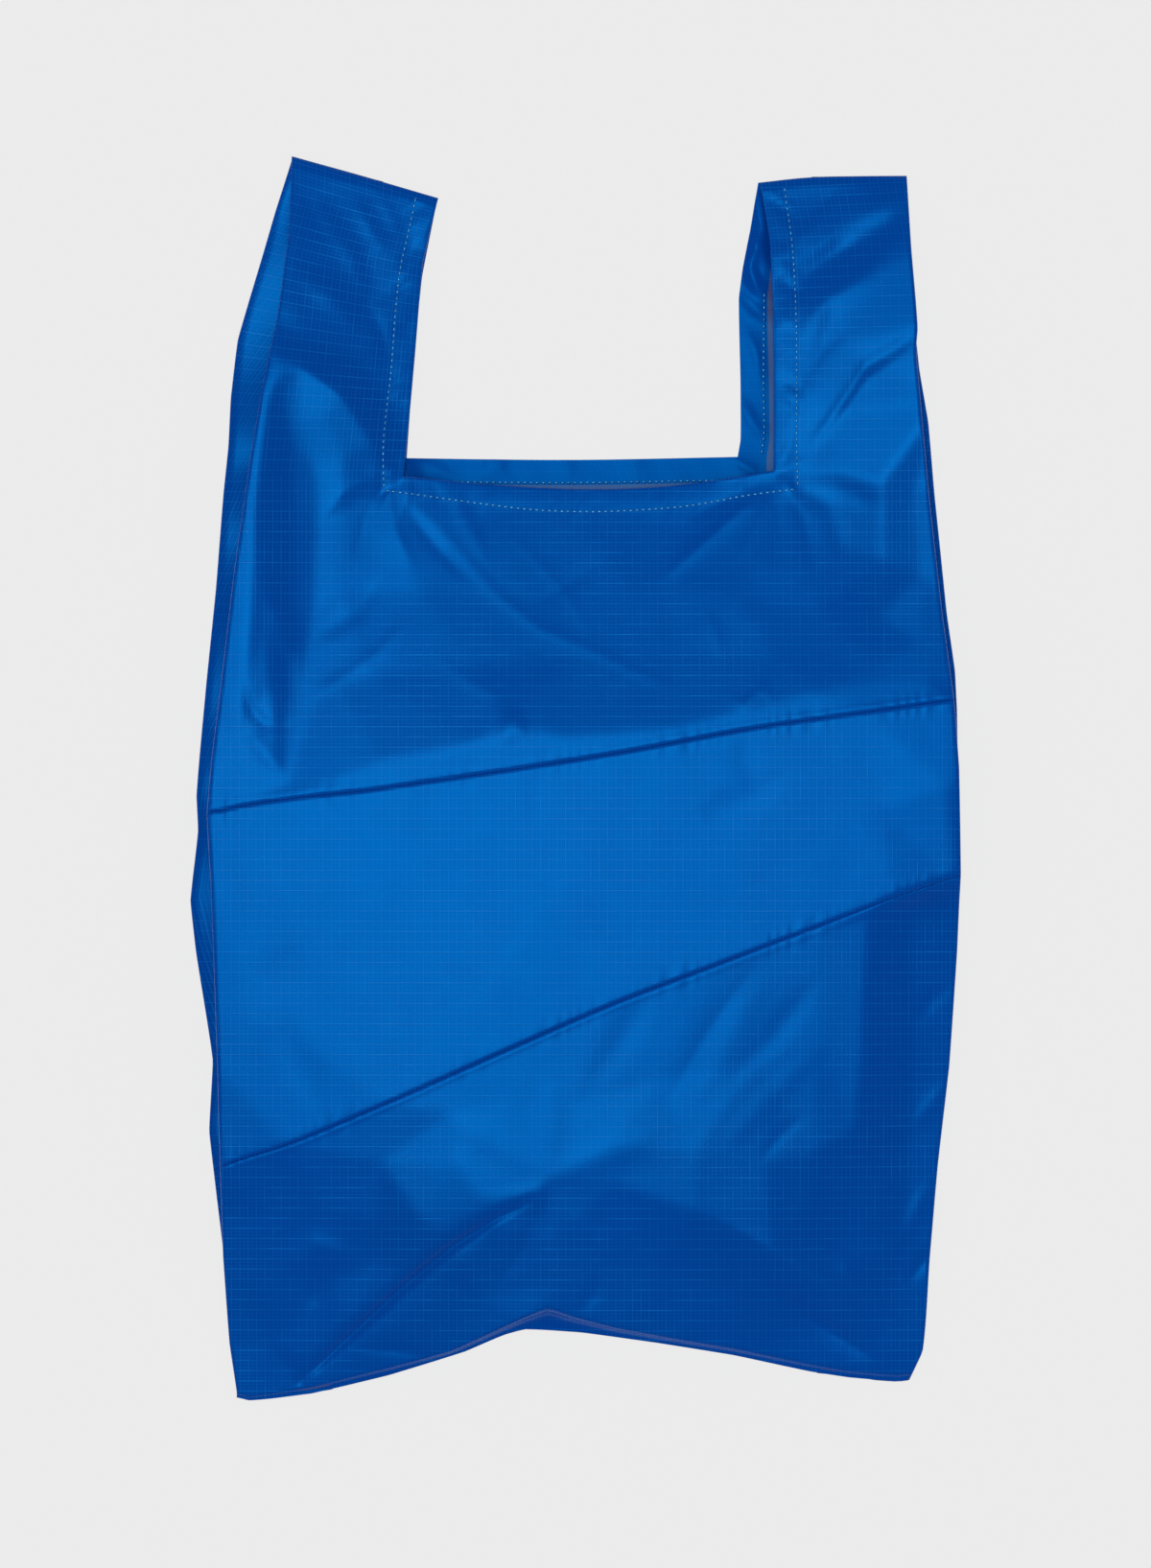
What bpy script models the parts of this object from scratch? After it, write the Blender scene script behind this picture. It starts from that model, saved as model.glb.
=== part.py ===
"""A sewn nylon shopping bag in the shape of a vest carrier bag, lying on its back.

The cloth is cut in three bands. Two slanting seams join them into one tube with a folded-in
gusset at each side. The top band runs on into two straps, which are the handles.

Units are metres. +Z is up, and +Y runs from the base to the handles. While a band is made, Y
starts at the corners of the base. The finished bag is centred on its own outline.
"""

import math

import bmesh
import bpy
from mathutils import Vector

# Cloth
WALL = 0.0004
SEAM_GAP = 0.0003
LAYER_GAP = 0.0006
SEAM_ROLL = 0.0007
SEAM_LIP = 0.0007
HEM_WIDTH = 0.011
HEM_WALL = 0.0011
HEM_STEP = 0.0008

# Body, as it lies
BODY_WIDTH = 0.337
BODY_LENGTH = 0.4665
SIDE_BOW = 0.0175
GUSSET_DEPTH = 0.045
SIDE_HEIGHT = 0.015
CROWN = 0.012
FOLD_RADIUS = 0.0016
POCKET_RADIUS = 0.0012
BASE_LEAN = 0.0025
MOUTH_LEAN = 0.0075

# How far the back shows beyond the front at the mouth, outwards at the side folds
LEFT_BACK_SPREAD = 0.0095
RIGHT_BACK_SPREAD = 0.0005
LEFT_STRAP_BOW = 0.004

# Base
BASE_FLAP = 0.004
BASE_RISE = 0.035
RIGHT_CORNER_LIFT = 0.0095
FRONT_EXTRA_RISE = 0.008
BASE_HEIGHT = 0.017
BASE_RAMP = 0.07
BASE_PEAK_X = -0.021

# Mouth and handles
MOUTH_WIDTH = 0.183
BACK_MOUTH_OVERLAP = 0.017
MOUTH_DROP = 0.0075
MOUTH_SAG = 0.008
STRAP_LENGTH = 0.139
STRAP_TOP_WIDTH = 0.072
LEFT_STRAP_LEAN = 0.019
RIGHT_STRAP_LEAN = 0.0105
LEFT_TOP_RISE = 0.021
RIGHT_TOP_RISE = 0.003
STRAP_CROWN = 0.002

# Seams between the bands, as heights above the lower corner of the base
LOWER_SEAM_LEFT = 0.1185
LOWER_SEAM_RIGHT = 0.2515
UPPER_SEAM_LEFT = 0.2925
UPPER_SEAM_RIGHT = 0.344

# How finely the cloth is divided
GUSSET_COLUMNS = 3
STRAP_COLUMNS = 2
MOUTH_COLUMNS = 8
FOLD_COLUMNS = 3
LOWER_ROWS = 8
MIDDLE_ROWS = 6
UPPER_ROWS = 5
STRAP_ROWS = 8

# Finish
CLOTH_COLOUR = (0.002, 0.105, 0.46, 1.0)
CLOTH_ROUGHNESS = 0.42

LEFT, RIGHT = -1, 1
STACK_FOLD = WALL + LAYER_GAP / 2
STACK_HEIGHT = 4 * STACK_FOLD + LAYER_GAP


def mix(first, second, share):
    return first + (second - first) * share


def eased(low, high, value):
    """0 below low, 1 above high, and an even S between."""
    share = min(1.0, max(0.0, (value - low) / (high - low)))
    return share * share * (3 - 2 * share)


# The plan of the bag. A level is 0 at the base, 1 at the mouth and 2 at the strap's top.


def lean(level):
    """The middle of the front, which lies a little to the right towards the mouth."""
    return mix(BASE_LEAN, MOUTH_LEAN, min(level, 1))


def spread(level):
    """How much of the shift between front and back is reached. They are sewn together at both ends."""
    return math.sin(math.pi * level / 2)


def strap_middle(side):
    """The middle of a strap's top edge."""
    turn_in = LEFT_STRAP_LEAN if side == LEFT else RIGHT_STRAP_LEAN
    return MOUTH_LEAN + side * ((BODY_WIDTH + MOUTH_WIDTH) / 4 - turn_in)


def crease_x(side, level, layer):
    """The side fold of the front or of the back."""
    reach = 0.0
    if layer == "back":
        reach = (LEFT_BACK_SPREAD if side == LEFT else RIGHT_BACK_SPREAD) * spread(level)
    if level <= 1:
        bow = SIDE_BOW * math.sin(math.pi * max(level, 0) ** 1.2)
        return lean(level) + side * (BODY_WIDTH / 2 + bow + reach)
    if layer == "back" and side == LEFT:
        reach += LEFT_STRAP_BOW * math.sin(math.pi * (level - 1))
    mouth_end = MOUTH_LEAN + side * BODY_WIDTH / 2
    top = strap_middle(side) + side * STRAP_TOP_WIDTH / 2
    return mix(mouth_end, top, level - 1) + side * reach


def inner_x(side, level, layer):
    """The hemmed inner edge of a strap, and below the mouth the line that runs on from it."""
    shift = -BACK_MOUTH_OVERLAP * spread(level) if layer == "back" and side == RIGHT else 0.0
    if level <= 1:
        return lean(level) + side * MOUTH_WIDTH / 2 + shift
    top = strap_middle(side) - side * STRAP_TOP_WIDTH / 2
    return mix(MOUTH_LEAN + side * MOUTH_WIDTH / 2, top, level - 1) + shift


def hump(x):
    """1 at the peak of the base, falling to 0 at the sides of the bag."""
    half = BODY_WIDTH / 2 + SIDE_BOW + (BASE_PEAK_X if x < BASE_PEAK_X else -BASE_PEAK_X)
    return max(0.0, math.cos(math.pi / 2 * min(1.0, abs(x - BASE_PEAK_X) / half)))


def base_seam_y(x):
    """The base seam hangs lowest at the left corner, rises to a peak and falls to the right corner."""
    left = BASE_LEAN - BODY_WIDTH / 2
    right = BASE_LEAN + BODY_WIDTH / 2
    if x < BASE_PEAK_X:
        return BASE_RISE * max(0.0, (x - left) / (BASE_PEAK_X - left)) ** 1.5
    return RIGHT_CORNER_LIFT + (BASE_RISE - RIGHT_CORNER_LIFT) * eased(0, right - BASE_PEAK_X, right - x)


def base_edge_y(column, x):
    """The fold where the base turns up into the front, or the same line on the other layers."""
    extra = FRONT_EXTRA_RISE * hump(x) ** 4 if column[0] == "front" else 0.0
    return base_seam_y(x) + BASE_FLAP + extra


def mouth_y(column, x):
    """The hemmed edge of the mouth. The front's hangs lower than the back's and sags."""
    if column[0] != "front":
        return BODY_LENGTH - MOUTH_DROP * (1 if column[0] in ("front_crease", "upper_gusset") else 0)
    along = abs(x - MOUTH_LEAN) / (MOUTH_WIDTH / 2)
    sag = MOUTH_SAG * math.cos(math.pi / 2 * along) if along < 1 else 0.0
    return BODY_LENGTH - MOUTH_DROP - sag


def strap_top_y(side, x):
    """The sewn top edge of a strap, which is higher at its outer end."""
    rise = LEFT_TOP_RISE if side == LEFT else RIGHT_TOP_RISE
    along = side * (x - strap_middle(side)) / STRAP_TOP_WIDTH
    return BODY_LENGTH + STRAP_LENGTH + rise * along


def seam_y(x, left, right):
    """A slanting seam between two bands."""
    return mix(left, right, x / BODY_WIDTH + 0.5)


# The section of the bag. A column is a line of cloth that runs from the base to the top.


def opening_at(column, x, y, level):
    """How far the gusset stands open: 0 where the layers lie flat on each other, and 1 in the body."""
    if level > 1:
        return 0.75 * (1 - (level - 1) ** 2)
    near_base = eased(0, BASE_RAMP, y - base_edge_y(column, x))
    return near_base * mix(1.0, 0.75, eased(0.7, 1.0, level))


def crown_at(x, level, opening):
    """How far the front bulges up above its side folds."""
    if level > 1:
        height = STRAP_CROWN * opening
    else:
        height = mix(BASE_HEIGHT, mix(CROWN, STRAP_CROWN, eased(0.75, 1.0, level)), opening)
    return height * hump(x) ** 0.8


def column_point(column, level, y, inset=0.0):
    """Where a column is at a level, moved inset into the bag from the outer face of the cloth."""
    part, side, share = column
    layer = "back" if part in ("back", "back_crease", "lower_gusset") else "front"
    if part in ("front", "back"):
        x = sheet_x(side, share, level, layer)
    else:
        x = crease_x(side, level, layer)
    opening = opening_at(column, x, y, level)
    fold = mix(STACK_FOLD, FOLD_RADIUS, opening)
    pocket = mix(LAYER_GAP / 2, POCKET_RADIUS, opening)
    height = mix(STACK_HEIGHT, SIDE_HEIGHT, opening)
    front_edge = crease_x(side, level, "front") - side * fold if side else 0.0
    back_edge = crease_x(side, level, "back") - side * fold if side else 0.0
    pocket_x = (front_edge + back_edge) / 2 - side * GUSSET_DEPTH
    around = math.pi * share
    if part == "front":
        if side and share == 0:
            x = front_edge
        return x, height + crown_at(x, level, opening) - inset
    if part == "back":
        if side and share == 0:
            x = back_edge
        return x, inset
    if part == "front_crease":
        radius = fold - inset
        return front_edge + side * radius * math.sin(around), height - fold + radius * math.cos(around)
    if part == "upper_gusset":
        return mix(front_edge, pocket_x, share), mix(height - 2 * fold, height / 2 + pocket, share) + inset
    if part == "pocket_fold":
        radius = pocket + inset
        return pocket_x - side * radius * math.sin(around), height / 2 + radius * math.cos(around)
    if part == "lower_gusset":
        return mix(back_edge, pocket_x, share), mix(2 * fold, height / 2 - pocket, share) - inset
    radius = fold - inset
    return back_edge + side * radius * math.sin(around), fold + radius * math.cos(around)


def sheet_x(side, share, level, layer):
    """Across the front or the back.

    Between the straps, share runs from one inner edge, 0, to the other, 1. At a side it runs from
    the side fold, 0, over the end of the gusset, 1, the step of the hem, 2, and the hem line, 3,
    to the inner edge, 4.
    """
    if not side:
        return mix(inner_x(LEFT, level, layer), inner_x(RIGHT, level, layer), share)
    crease = crease_x(side, level, layer)
    edge = inner_x(side, level, layer)
    hem_line = edge + side * HEM_WIDTH
    guides = (crease, crease - side * GUSSET_DEPTH, hem_line + side * HEM_STEP, hem_line, edge)
    part = min(int(share), 3)
    return mix(guides[part], guides[part + 1], share - part)


def loop_of_columns():
    """The columns once round the bag: the front, the right gusset, the back and the left gusset."""
    over_gusset = [step / GUSSET_COLUMNS for step in range(GUSSET_COLUMNS)]
    beside_gusset = [1 + step / STRAP_COLUMNS for step in range(STRAP_COLUMNS + 1)]
    strap = over_gusset + beside_gusset + [3, 4]
    mouth = [step / MOUTH_COLUMNS for step in range(1, MOUTH_COLUMNS)]
    gusset = [step / GUSSET_COLUMNS for step in range(GUSSET_COLUMNS + 1)]
    fold = [step / FOLD_COLUMNS for step in range(1, FOLD_COLUMNS)]

    def sheet(part):
        left = [(part, LEFT, share) for share in strap]
        middle = [(part, 0, share) for share in mouth]
        return left + middle + [(part, RIGHT, share) for share in reversed(strap)]

    def side_wall(side):
        wall = []
        for part, shares in (
            ("front_crease", fold),
            ("upper_gusset", gusset),
            ("pocket_fold", fold),
            ("lower_gusset", gusset[::-1]),
            ("back_crease", fold),
        ):
            wall += [(part, side, share) for share in shares]
        return wall

    return sheet("front") + side_wall(RIGHT) + sheet("back")[::-1] + side_wall(LEFT)[::-1]


COLUMNS = loop_of_columns()


def is_sheet(column):
    return column[0] in ("front", "back")


def is_mouth(column):
    """Whether a column ends at the mouth and has no strap above it."""
    return is_sheet(column) and column[1] == 0


def is_hemmed(column):
    """Whether a column lies in the hem, at the height of the mouth or above it."""
    return is_sheet(column) and (column[1] == 0 or column[2] >= 3)


def facing_columns():
    """The pairs of columns that face each other inside the bag where its layers lie flat."""
    pairs = []
    for part, side, share in COLUMNS:
        if part == "front" and side and share <= 1:
            pairs.append(((part, side, share), ("upper_gusset", side, share)))
            pairs.append((("back", side, share), ("lower_gusset", side, share)))
        elif part == "front":
            pairs.append(((part, side, share), ("back", side, share)))
    return pairs


# Rows. A row gives the point of a column.


def body_row(line, inset=0.0):
    """A row of the body along y = line(column, x)."""

    def point(column):
        x = column_point(column, 0.5, BODY_LENGTH / 2)[0]
        for _ in range(4):
            y = line(column, x)
            x, z = column_point(column, y / BODY_LENGTH, y, inset)
        return Vector((x, y, z))

    return point


def between(low, high, share):
    """The line that lies a share of the way from one line to another."""
    return lambda column, x: mix(low(column, x), high(column, x), share)


def moved(line, distance):
    return lambda column, x: line(column, x) + distance


def seam_rows(line, towards):
    """The rolled edge of a band at a seam and the flat cloth beside it. The band lies towards +1 or -1."""
    edge = moved(line, towards * SEAM_GAP / 2)
    flat = moved(edge, towards * SEAM_ROLL)
    rows = [body_row(edge, SEAM_LIP), body_row(flat)]
    return rows if towards > 0 else rows[::-1]


def filling_rows(low, high, count, skip_first=True):
    """Evenly spaced rows between two lines, without the last."""
    return [body_row(between(low, high, step / count)) for step in range(1 if skip_first else 0, count)]


def lower_seam(column, x):
    return seam_y(x, LOWER_SEAM_LEFT, LOWER_SEAM_RIGHT)


def upper_seam(column, x):
    return seam_y(x, UPPER_SEAM_LEFT, UPPER_SEAM_RIGHT)


def base_seam_row(column):
    """The base seam holds all the layers flat together."""
    x, _ = column_point(column, 0, base_edge_y(column, 0))
    x, _ = column_point(column, 0, base_edge_y(column, x))
    layers = {
        "front": STACK_HEIGHT,
        "front_crease": STACK_HEIGHT - STACK_FOLD + STACK_FOLD * math.cos(math.pi * column[2]),
        "upper_gusset": STACK_HEIGHT - 2 * STACK_FOLD,
        "pocket_fold": STACK_HEIGHT / 2 + LAYER_GAP / 2 * math.cos(math.pi * column[2]),
        "lower_gusset": 2 * STACK_FOLD,
        "back_crease": STACK_FOLD + STACK_FOLD * math.cos(math.pi * column[2]),
        "back": 0.0,
    }
    return Vector((x, base_seam_y(x), layers[column[0]]))


def strap_row(share):
    """A row across the straps. Share is 0 at the mouth and 1 at the top."""

    def point(column):
        if is_mouth(column):
            return Vector((share, share, share))
        level = 1 + share
        x = column_point(column, level, BODY_LENGTH)[0]
        y = mix(mouth_y(column, x), strap_top_y(column[1], x), share)
        x, z = column_point(column, level, y)
        return Vector((x, y, z))

    return point


# Meshes


def tube_mesh(rows, hem_from=None):
    """A grid of cloth, one column wider than the loop, laid along the rows and closed into a tube.

    The vertices of the last row are tagged. From row hem_from on, hemmed columns get the hem's weight.
    """
    mesh = bmesh.new()
    weights = mesh.verts.layers.deform.verify()
    column_layer = mesh.verts.layers.int.new("column")
    count = len(COLUMNS)
    bmesh.ops.create_grid(mesh, x_segments=count, y_segments=len(rows) - 1, size=1)
    for vertex in mesh.verts:
        index = round((vertex.co.x + 1) / 2 * count) % count
        column = COLUMNS[index]
        row = round((vertex.co.y + 1) / 2 * (len(rows) - 1))
        if hem_from is not None and row >= hem_from and is_hemmed(column):
            vertex[weights][0] = 1.0
        vertex[column_layer] = index
        vertex.tag = row == len(rows) - 1
        vertex.co = rows[row](column)
    return mesh


def welded(mesh):
    bmesh.ops.remove_doubles(mesh, verts=mesh.verts, dist=1e-6)
    return mesh


def close_end(mesh, vertices):
    """Closes an end of the tube with one face, cut between the columns that face each other."""
    column_layer = mesh.verts.layers.int["column"]
    by_column = {COLUMNS[vertex[column_layer]]: vertex for vertex in vertices}
    edges = [edge for edge in mesh.edges if edge.is_boundary and all(v in vertices for v in edge.verts)]
    made = bmesh.ops.contextual_create(mesh, geom=edges)
    pieces = made["faces"]
    for first, second in facing_columns():
        if first in by_column and second in by_column:
            pair = (by_column[first], by_column[second])
            pieces += split_between(pieces, pair)
    bmesh.ops.recalc_face_normals(mesh, faces=mesh.faces)


def split_between(pieces, pair):
    """Splits the piece that holds both vertices, where they aren't joined by an edge already."""
    for piece in pieces:
        if all(vertex in piece.verts for vertex in pair) and not edge_between(pair):
            return [bmesh.utils.face_split(piece, *pair)[0]]
    return []


def edge_between(pair):
    return any(pair[1] in edge.verts for edge in pair[0].link_edges)


def cloth_object(name, mesh, collection):
    """A named object with the thickness of the cloth on the inner side, and more of it in the hems."""
    data = bpy.data.meshes.new(name)
    mesh.to_mesh(data)
    mesh.free()
    thing = bpy.data.objects.new(name, data)
    collection.objects.link(thing)
    thing.vertex_groups.new(name="hem")
    thickness = thing.modifiers.new("Thickness", "SOLIDIFY")
    thickness.thickness = HEM_WALL
    thickness.vertex_group = "hem"
    thickness.thickness_vertex_group = WALL / HEM_WALL
    thickness.offset = -1
    thickness.use_even_offset = True
    thickness.use_quality_normals = True
    data.materials.append(cloth_material(name))
    data.shade_smooth()
    data.set_sharp_from_angle(angle=math.radians(40))
    return thing


def cloth_material(name):
    material = bpy.data.materials.new(name + "_nylon")
    material.use_nodes = True
    surface = material.node_tree.nodes["Principled BSDF"]
    surface.inputs["Base Color"].default_value = CLOTH_COLOUR
    surface.inputs["Roughness"].default_value = CLOTH_ROUGHNESS
    surface.inputs["Metallic"].default_value = 0.0
    return material


# Bands


def lower_band(collection):
    """The lowest band, closed by the base seam."""
    top = moved(lower_seam, -SEAM_GAP / 2 - SEAM_ROLL)
    rows = [base_seam_row] + filling_rows(base_edge_y, top, LOWER_ROWS, skip_first=False)
    rows += seam_rows(lower_seam, -1)
    mesh = welded(tube_mesh(rows))
    close_end(mesh, [vertex for vertex in mesh.verts if vertex.is_boundary and not vertex.tag])
    return cloth_object("lower_band", mesh, collection)


def middle_band(collection):
    low = moved(lower_seam, SEAM_GAP / 2 + SEAM_ROLL)
    high = moved(upper_seam, -SEAM_GAP / 2 - SEAM_ROLL)
    rows = seam_rows(lower_seam, 1) + filling_rows(low, high, MIDDLE_ROWS) + seam_rows(upper_seam, -1)
    return cloth_object("middle_band", welded(tube_mesh(rows)), collection)


def upper_band(collection):
    """The highest band, with the hemmed mouth and the two straps."""
    low = moved(upper_seam, SEAM_GAP / 2 + SEAM_ROLL)
    hem_line = moved(mouth_y, -HEM_WIDTH)
    hem_step = moved(hem_line, -HEM_STEP)
    rows = seam_rows(upper_seam, 1) + filling_rows(low, hem_step, UPPER_ROWS)
    hem_row = len(rows) + 1
    mouth_row = hem_row + 1
    rows += [body_row(hem_step), body_row(hem_line), body_row(mouth_y)]
    rows += [strap_row(step / STRAP_ROWS) for step in range(1, STRAP_ROWS + 1)]
    mesh = tube_mesh(rows, hem_from=hem_row)
    cut_out_mouth(mesh, mouth_row)
    welded(mesh)
    for side in (LEFT, RIGHT):
        close_end(mesh, [vertex for vertex in mesh.verts if vertex.tag and vertex.co.x * side > 0])
    return cloth_object("upper_band", mesh, collection)


def cut_out_mouth(mesh, mouth_row):
    """Removes the cloth between the straps, on the front and on the back."""
    mesh.faces.ensure_lookup_table()
    count = len(COLUMNS)
    ends_at_mouth = [is_mouth(column) for column in COLUMNS]
    removed = []
    for index, face in enumerate(mesh.faces):
        row, column = divmod(index, count)
        beside_mouth = ends_at_mouth[column] or ends_at_mouth[(column + 1) % count]
        if row >= mouth_row and beside_mouth:
            removed.append(face)
    bmesh.ops.delete(mesh, geom=removed, context="FACES")


def centre_on_outline(things):
    """Moves the meshes so that the origin is under the middle of the whole bag."""
    points = [vertex.co for thing in things for vertex in thing.data.vertices]
    middle_x = (min(p.x for p in points) + max(p.x for p in points)) / 2
    middle_y = (min(p.y for p in points) + max(p.y for p in points)) / 2
    for thing in things:
        for vertex in thing.data.vertices:
            vertex.co -= Vector((middle_x, middle_y, 0))


def main():
    for thing in list(bpy.data.objects):
        bpy.data.objects.remove(thing)
    collection = bpy.data.collections.new("shopping_bag")
    bpy.context.scene.collection.children.link(collection)
    bands = [lower_band(collection), middle_band(collection), upper_band(collection)]
    centre_on_outline(bands)


main()
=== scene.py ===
"""The looks of a sewn nylon shopping bag, laid on its back and seen from straight above.

Three bands of ripstop cloth stand for the three CAD bands. Each is a fine grid of cloth that runs
once round the bag, over the folded-in side gussets, and is shaped by guide lines and by folds.
Lengths inside the shape functions are millimetres; a mesh is turned to metres as it is made.
"""

import math

import bmesh
import bpy
import numpy as np
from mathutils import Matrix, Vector, geometry, noise


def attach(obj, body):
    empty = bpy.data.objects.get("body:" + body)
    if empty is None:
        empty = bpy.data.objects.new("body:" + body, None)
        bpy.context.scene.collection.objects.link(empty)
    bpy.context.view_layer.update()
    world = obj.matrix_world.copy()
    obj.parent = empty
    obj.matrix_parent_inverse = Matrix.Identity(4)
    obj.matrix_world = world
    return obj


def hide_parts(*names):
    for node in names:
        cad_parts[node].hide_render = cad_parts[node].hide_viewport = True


bl_info = {
    "name": "Nylon Shopping Bag",
    "version": (1, 0, 0),
    "blender": (4, 5, 0),
    "location": "View3D > Sidebar > Bag",
    "description": "Builds the cloth, the stitching and the stage of a nylon shopping bag",
    "category": "Object",
}

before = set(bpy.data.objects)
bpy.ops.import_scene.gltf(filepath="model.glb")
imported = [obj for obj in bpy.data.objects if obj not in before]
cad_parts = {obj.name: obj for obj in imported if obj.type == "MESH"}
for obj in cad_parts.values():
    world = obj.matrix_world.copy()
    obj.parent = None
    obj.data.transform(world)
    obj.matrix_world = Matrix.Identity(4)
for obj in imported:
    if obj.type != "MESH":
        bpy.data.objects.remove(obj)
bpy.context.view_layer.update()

MM = 0.001
LEFT, RIGHT = -1, 1
STRAP_LEAN = {LEFT: 0.29, RIGHT: -0.04}
STRAP_MIDDLE = {LEFT: -100.0, RIGHT: 130.0}

# Picture
PICTURE_HEIGHT_PX = 1635
MM_PER_PX = 0.475
PICTURE_CENTRE = (0.7, -3.1)
CAMERA_DISTANCE = 5.0
SENSOR = 36.0

# Light and floor
LAMP_PLACE = (-0.6, 0.25, 8.0)
LAMP_SIZE = 2.2
LAMP_POWER = 111
WORLD_STRENGTH = 0.3
FLOOR_REACH = 6
FLOOR_GLOW = 1.05
FLOOR_GLOW_SHARE = 0.9

# Cloth, in millimetres
GUSSET_DEPTH = 45.0
FOLD_RADIUS = 0.9
POCKET_RADIUS = 1.2
BACK_LIFT = 0.4
PLY_COVER = 0.9
POCKET_COVER = 1.3
LOWER_PLY_COVER = 1.7
LOWER_PLY_SWAY = 0.8

# Hems and seams, in millimetres
EDGE_ROLL = 0.7
HEM_PUFF = 0.12
HEM_MARGIN = 0.4
MOUTH_ZONE = 130
STRAP_GATHERS, MOUTH_GATHERS = 0.3, 0.12
SEAM_STEPS = (0.06, 0.5, 1.1, 2.0)
SEAM_TUCK = 0.8
SEAM_GROOVE, GROOVE_WIDTH = 0.35, 0.7
SEAM_LIP, LIP_WIDTH = 0.12, 1.2
SEAM_GATHERS, GATHERS_WIDTH = 0.12, 5.0
BACK_SEAM_RIDGE = 0.8

# Sewn ends, where the layers come together. Lengths are in millimetres
PINCH_HEIGHT = 1.5
PINCH_HALF_GAP = 0.3
BASE_FOLD_RISE = 2.5
BASE_DROP = 0.15
STRAP_END_SHARE = 0.985

# The straps, for the weave that follows them, in millimetres
STRAP_FOOT, STRAP_END = 150.0, 300.0

# Stitches. Lengths are in millimetres
HEM_STITCH_LIFT = 0.15
SEAM_STITCH_LIFT = -0.1
SEAM_STITCH_PITCH = 2.6
SEAM_STITCH_LENGTH = 1.7
SEAM_THREAD_SHARE = 0.4
STITCH_BLUNTNESS = 0.45
STITCH_FLATNESS = 0.5

# The weave, in metres, and the colour of its shine
ROW_YARN = 0.0004
COLUMN_YARN = 0.00036
FINE_YARN = 0.00022
YARN_RELIEF = 0.00006
CRINKLE_RELIEF = 0.00003
COATING_RELIEF = 0.00018
BLUE_SHINE = (0.0, 0.36, 0.95, 1.0)

# Columns and rows of the cloth's grid
LOWER_ROWS = 96
MIDDLE_ROWS = 72
UPPER_ROWS = 64
STRAP_ROWS = 52
SIDE_COLUMNS = 52
MOUTH_COLUMNS = 110
GUSSET_COLUMNS = 14
BACK_SIDE_COLUMNS = 14
BACK_MOUTH_COLUMNS = 34
ARC_STEPS = 4
HEM_STEPS = (0.0, 0.12, 0.35, 0.7, 1.4, 2.8, 4.4, 6.0, 7.6, 9.0, 10.2, 11.4)
BASE_STEPS = (1.0, 0.93, 0.75, 0.45, 0.2)
ROW_ROUNDS = 6


def mix(first, second, share):
    return first + (second - first) * share


def eased(low, high, value):
    """0 below low, 1 above high, and an even S between."""
    share = np.clip((value - low) / (high - low), 0.0, 1.0)
    return share * share * (3 - 2 * share)


def bell(value, width):
    return np.exp(-((value / width) ** 2))


def smooth_line(*points):
    """A smooth line through chosen points: the second number as it changes with the first."""
    ordered = np.array(sorted(points), float)
    at, value = ordered[:, 0], ordered[:, 1]
    slope = np.gradient(value, at)

    def read(where):
        where = np.clip(where, at[0], at[-1])
        low = np.clip(np.searchsorted(at, where) - 1, 0, len(at) - 2)
        step = at[low + 1] - at[low]
        t = (where - at[low]) / step
        start = value[low] * (1 + 2 * t) + slope[low] * step * t
        end = value[low + 1] * (3 - 2 * t) - slope[low + 1] * step * (1 - t)
        return start * (1 - t) ** 2 + end * t**2

    return read


def bent_line(*points):
    """A line through chosen points, nearly straight between them, as folded cloth is."""
    ordered = np.array(sorted(points), float)
    smooth = smooth_line(*points)
    return lambda where: mix(smooth(where), np.interp(where, ordered[:, 0], ordered[:, 1]), 0.8)


# Plan of the bag. Each line gives x as it changes with y.

FRONT_CREASE = {
    LEFT: bent_line(
        (-304, -167), (-280, -170.5), (-237, -173.5), (-192, -174.8), (-128, -176.5), (-52, -179.3),
        (-18, -181.2), (10, -178.8), (43, -174.6), (100, -168), (157, -160), (195, -153.7),
        (228, -146.5), (271, -141), (306, -139.8),
    ),
    RIGHT: bent_line(
        (-298, 166), (-284, 172.5), (-237, 176), (-192, 179.8), (-142, 185.5), (-85, 189.3),
        (-48, 190.7), (5, 189.8), (38, 187.4), (81, 181.7), (138, 175.5), (186, 171.2),
        (212, 169), (222, 169.8), (262, 166.7), (299, 164.6),
    ),
}
BACK_CREASE = {
    LEFT: bent_line(
        (-306, -165.5), (-277, -170.3), (-232, -174), (-204, -177.4), (-175, -180.7), (-140, -178.9),
        (-85, -187.4), (-61, -190), (-26, -186.2), (-9, -187), (46, -182.2), (93, -177.4),
        (141, -173.6), (164, -171.2), (188, -170), (217, -166.5), (236, -161), (259, -154.1),
        (280, -148), (307, -139.4),
    ),
    RIGHT: bent_line(
        (-298, 166), (-280, 171.7), (-192, 178.8), (-142, 184.8), (-90, 188.5), (-42, 190.3),
        (34, 189.6), (53, 188.6), (81, 184.6), (117, 180.9), (141, 178.4), (176, 175.4),
        (202, 171), (217, 169.4), (262, 166.5), (299, 164.4),
    ),
}
FRONT_INNER = {
    LEFT: bent_line(
        (-300, -89), (100, -84), (149, -84.2), (162, -82.9), (210, -78.6), (240, -76.2),
        (255, -74.8), (288, -67),
    ),
    RIGHT: bent_line(
        (-300, 94), (100, 98), (151, 98.6), (205, 98.6), (238, 98.1), (266, 96.7), (295, 91.9),
    ),
}
BACK_INNER = {
    LEFT: bent_line((-300, -89), (100, -83.5), (158, -82.9), (210, -79.1), (248, -75.3), (288, -67.4)),
    RIGHT: bent_line(
        (-300, 80), (100, 81), (159, 81), (167, 82.4), (195, 82.4), (238, 81.6), (252, 83.5),
        (271, 87.2), (295, 91.2),
    ),
}

# Lines that run across the bag. Each gives y as it changes with x.

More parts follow.
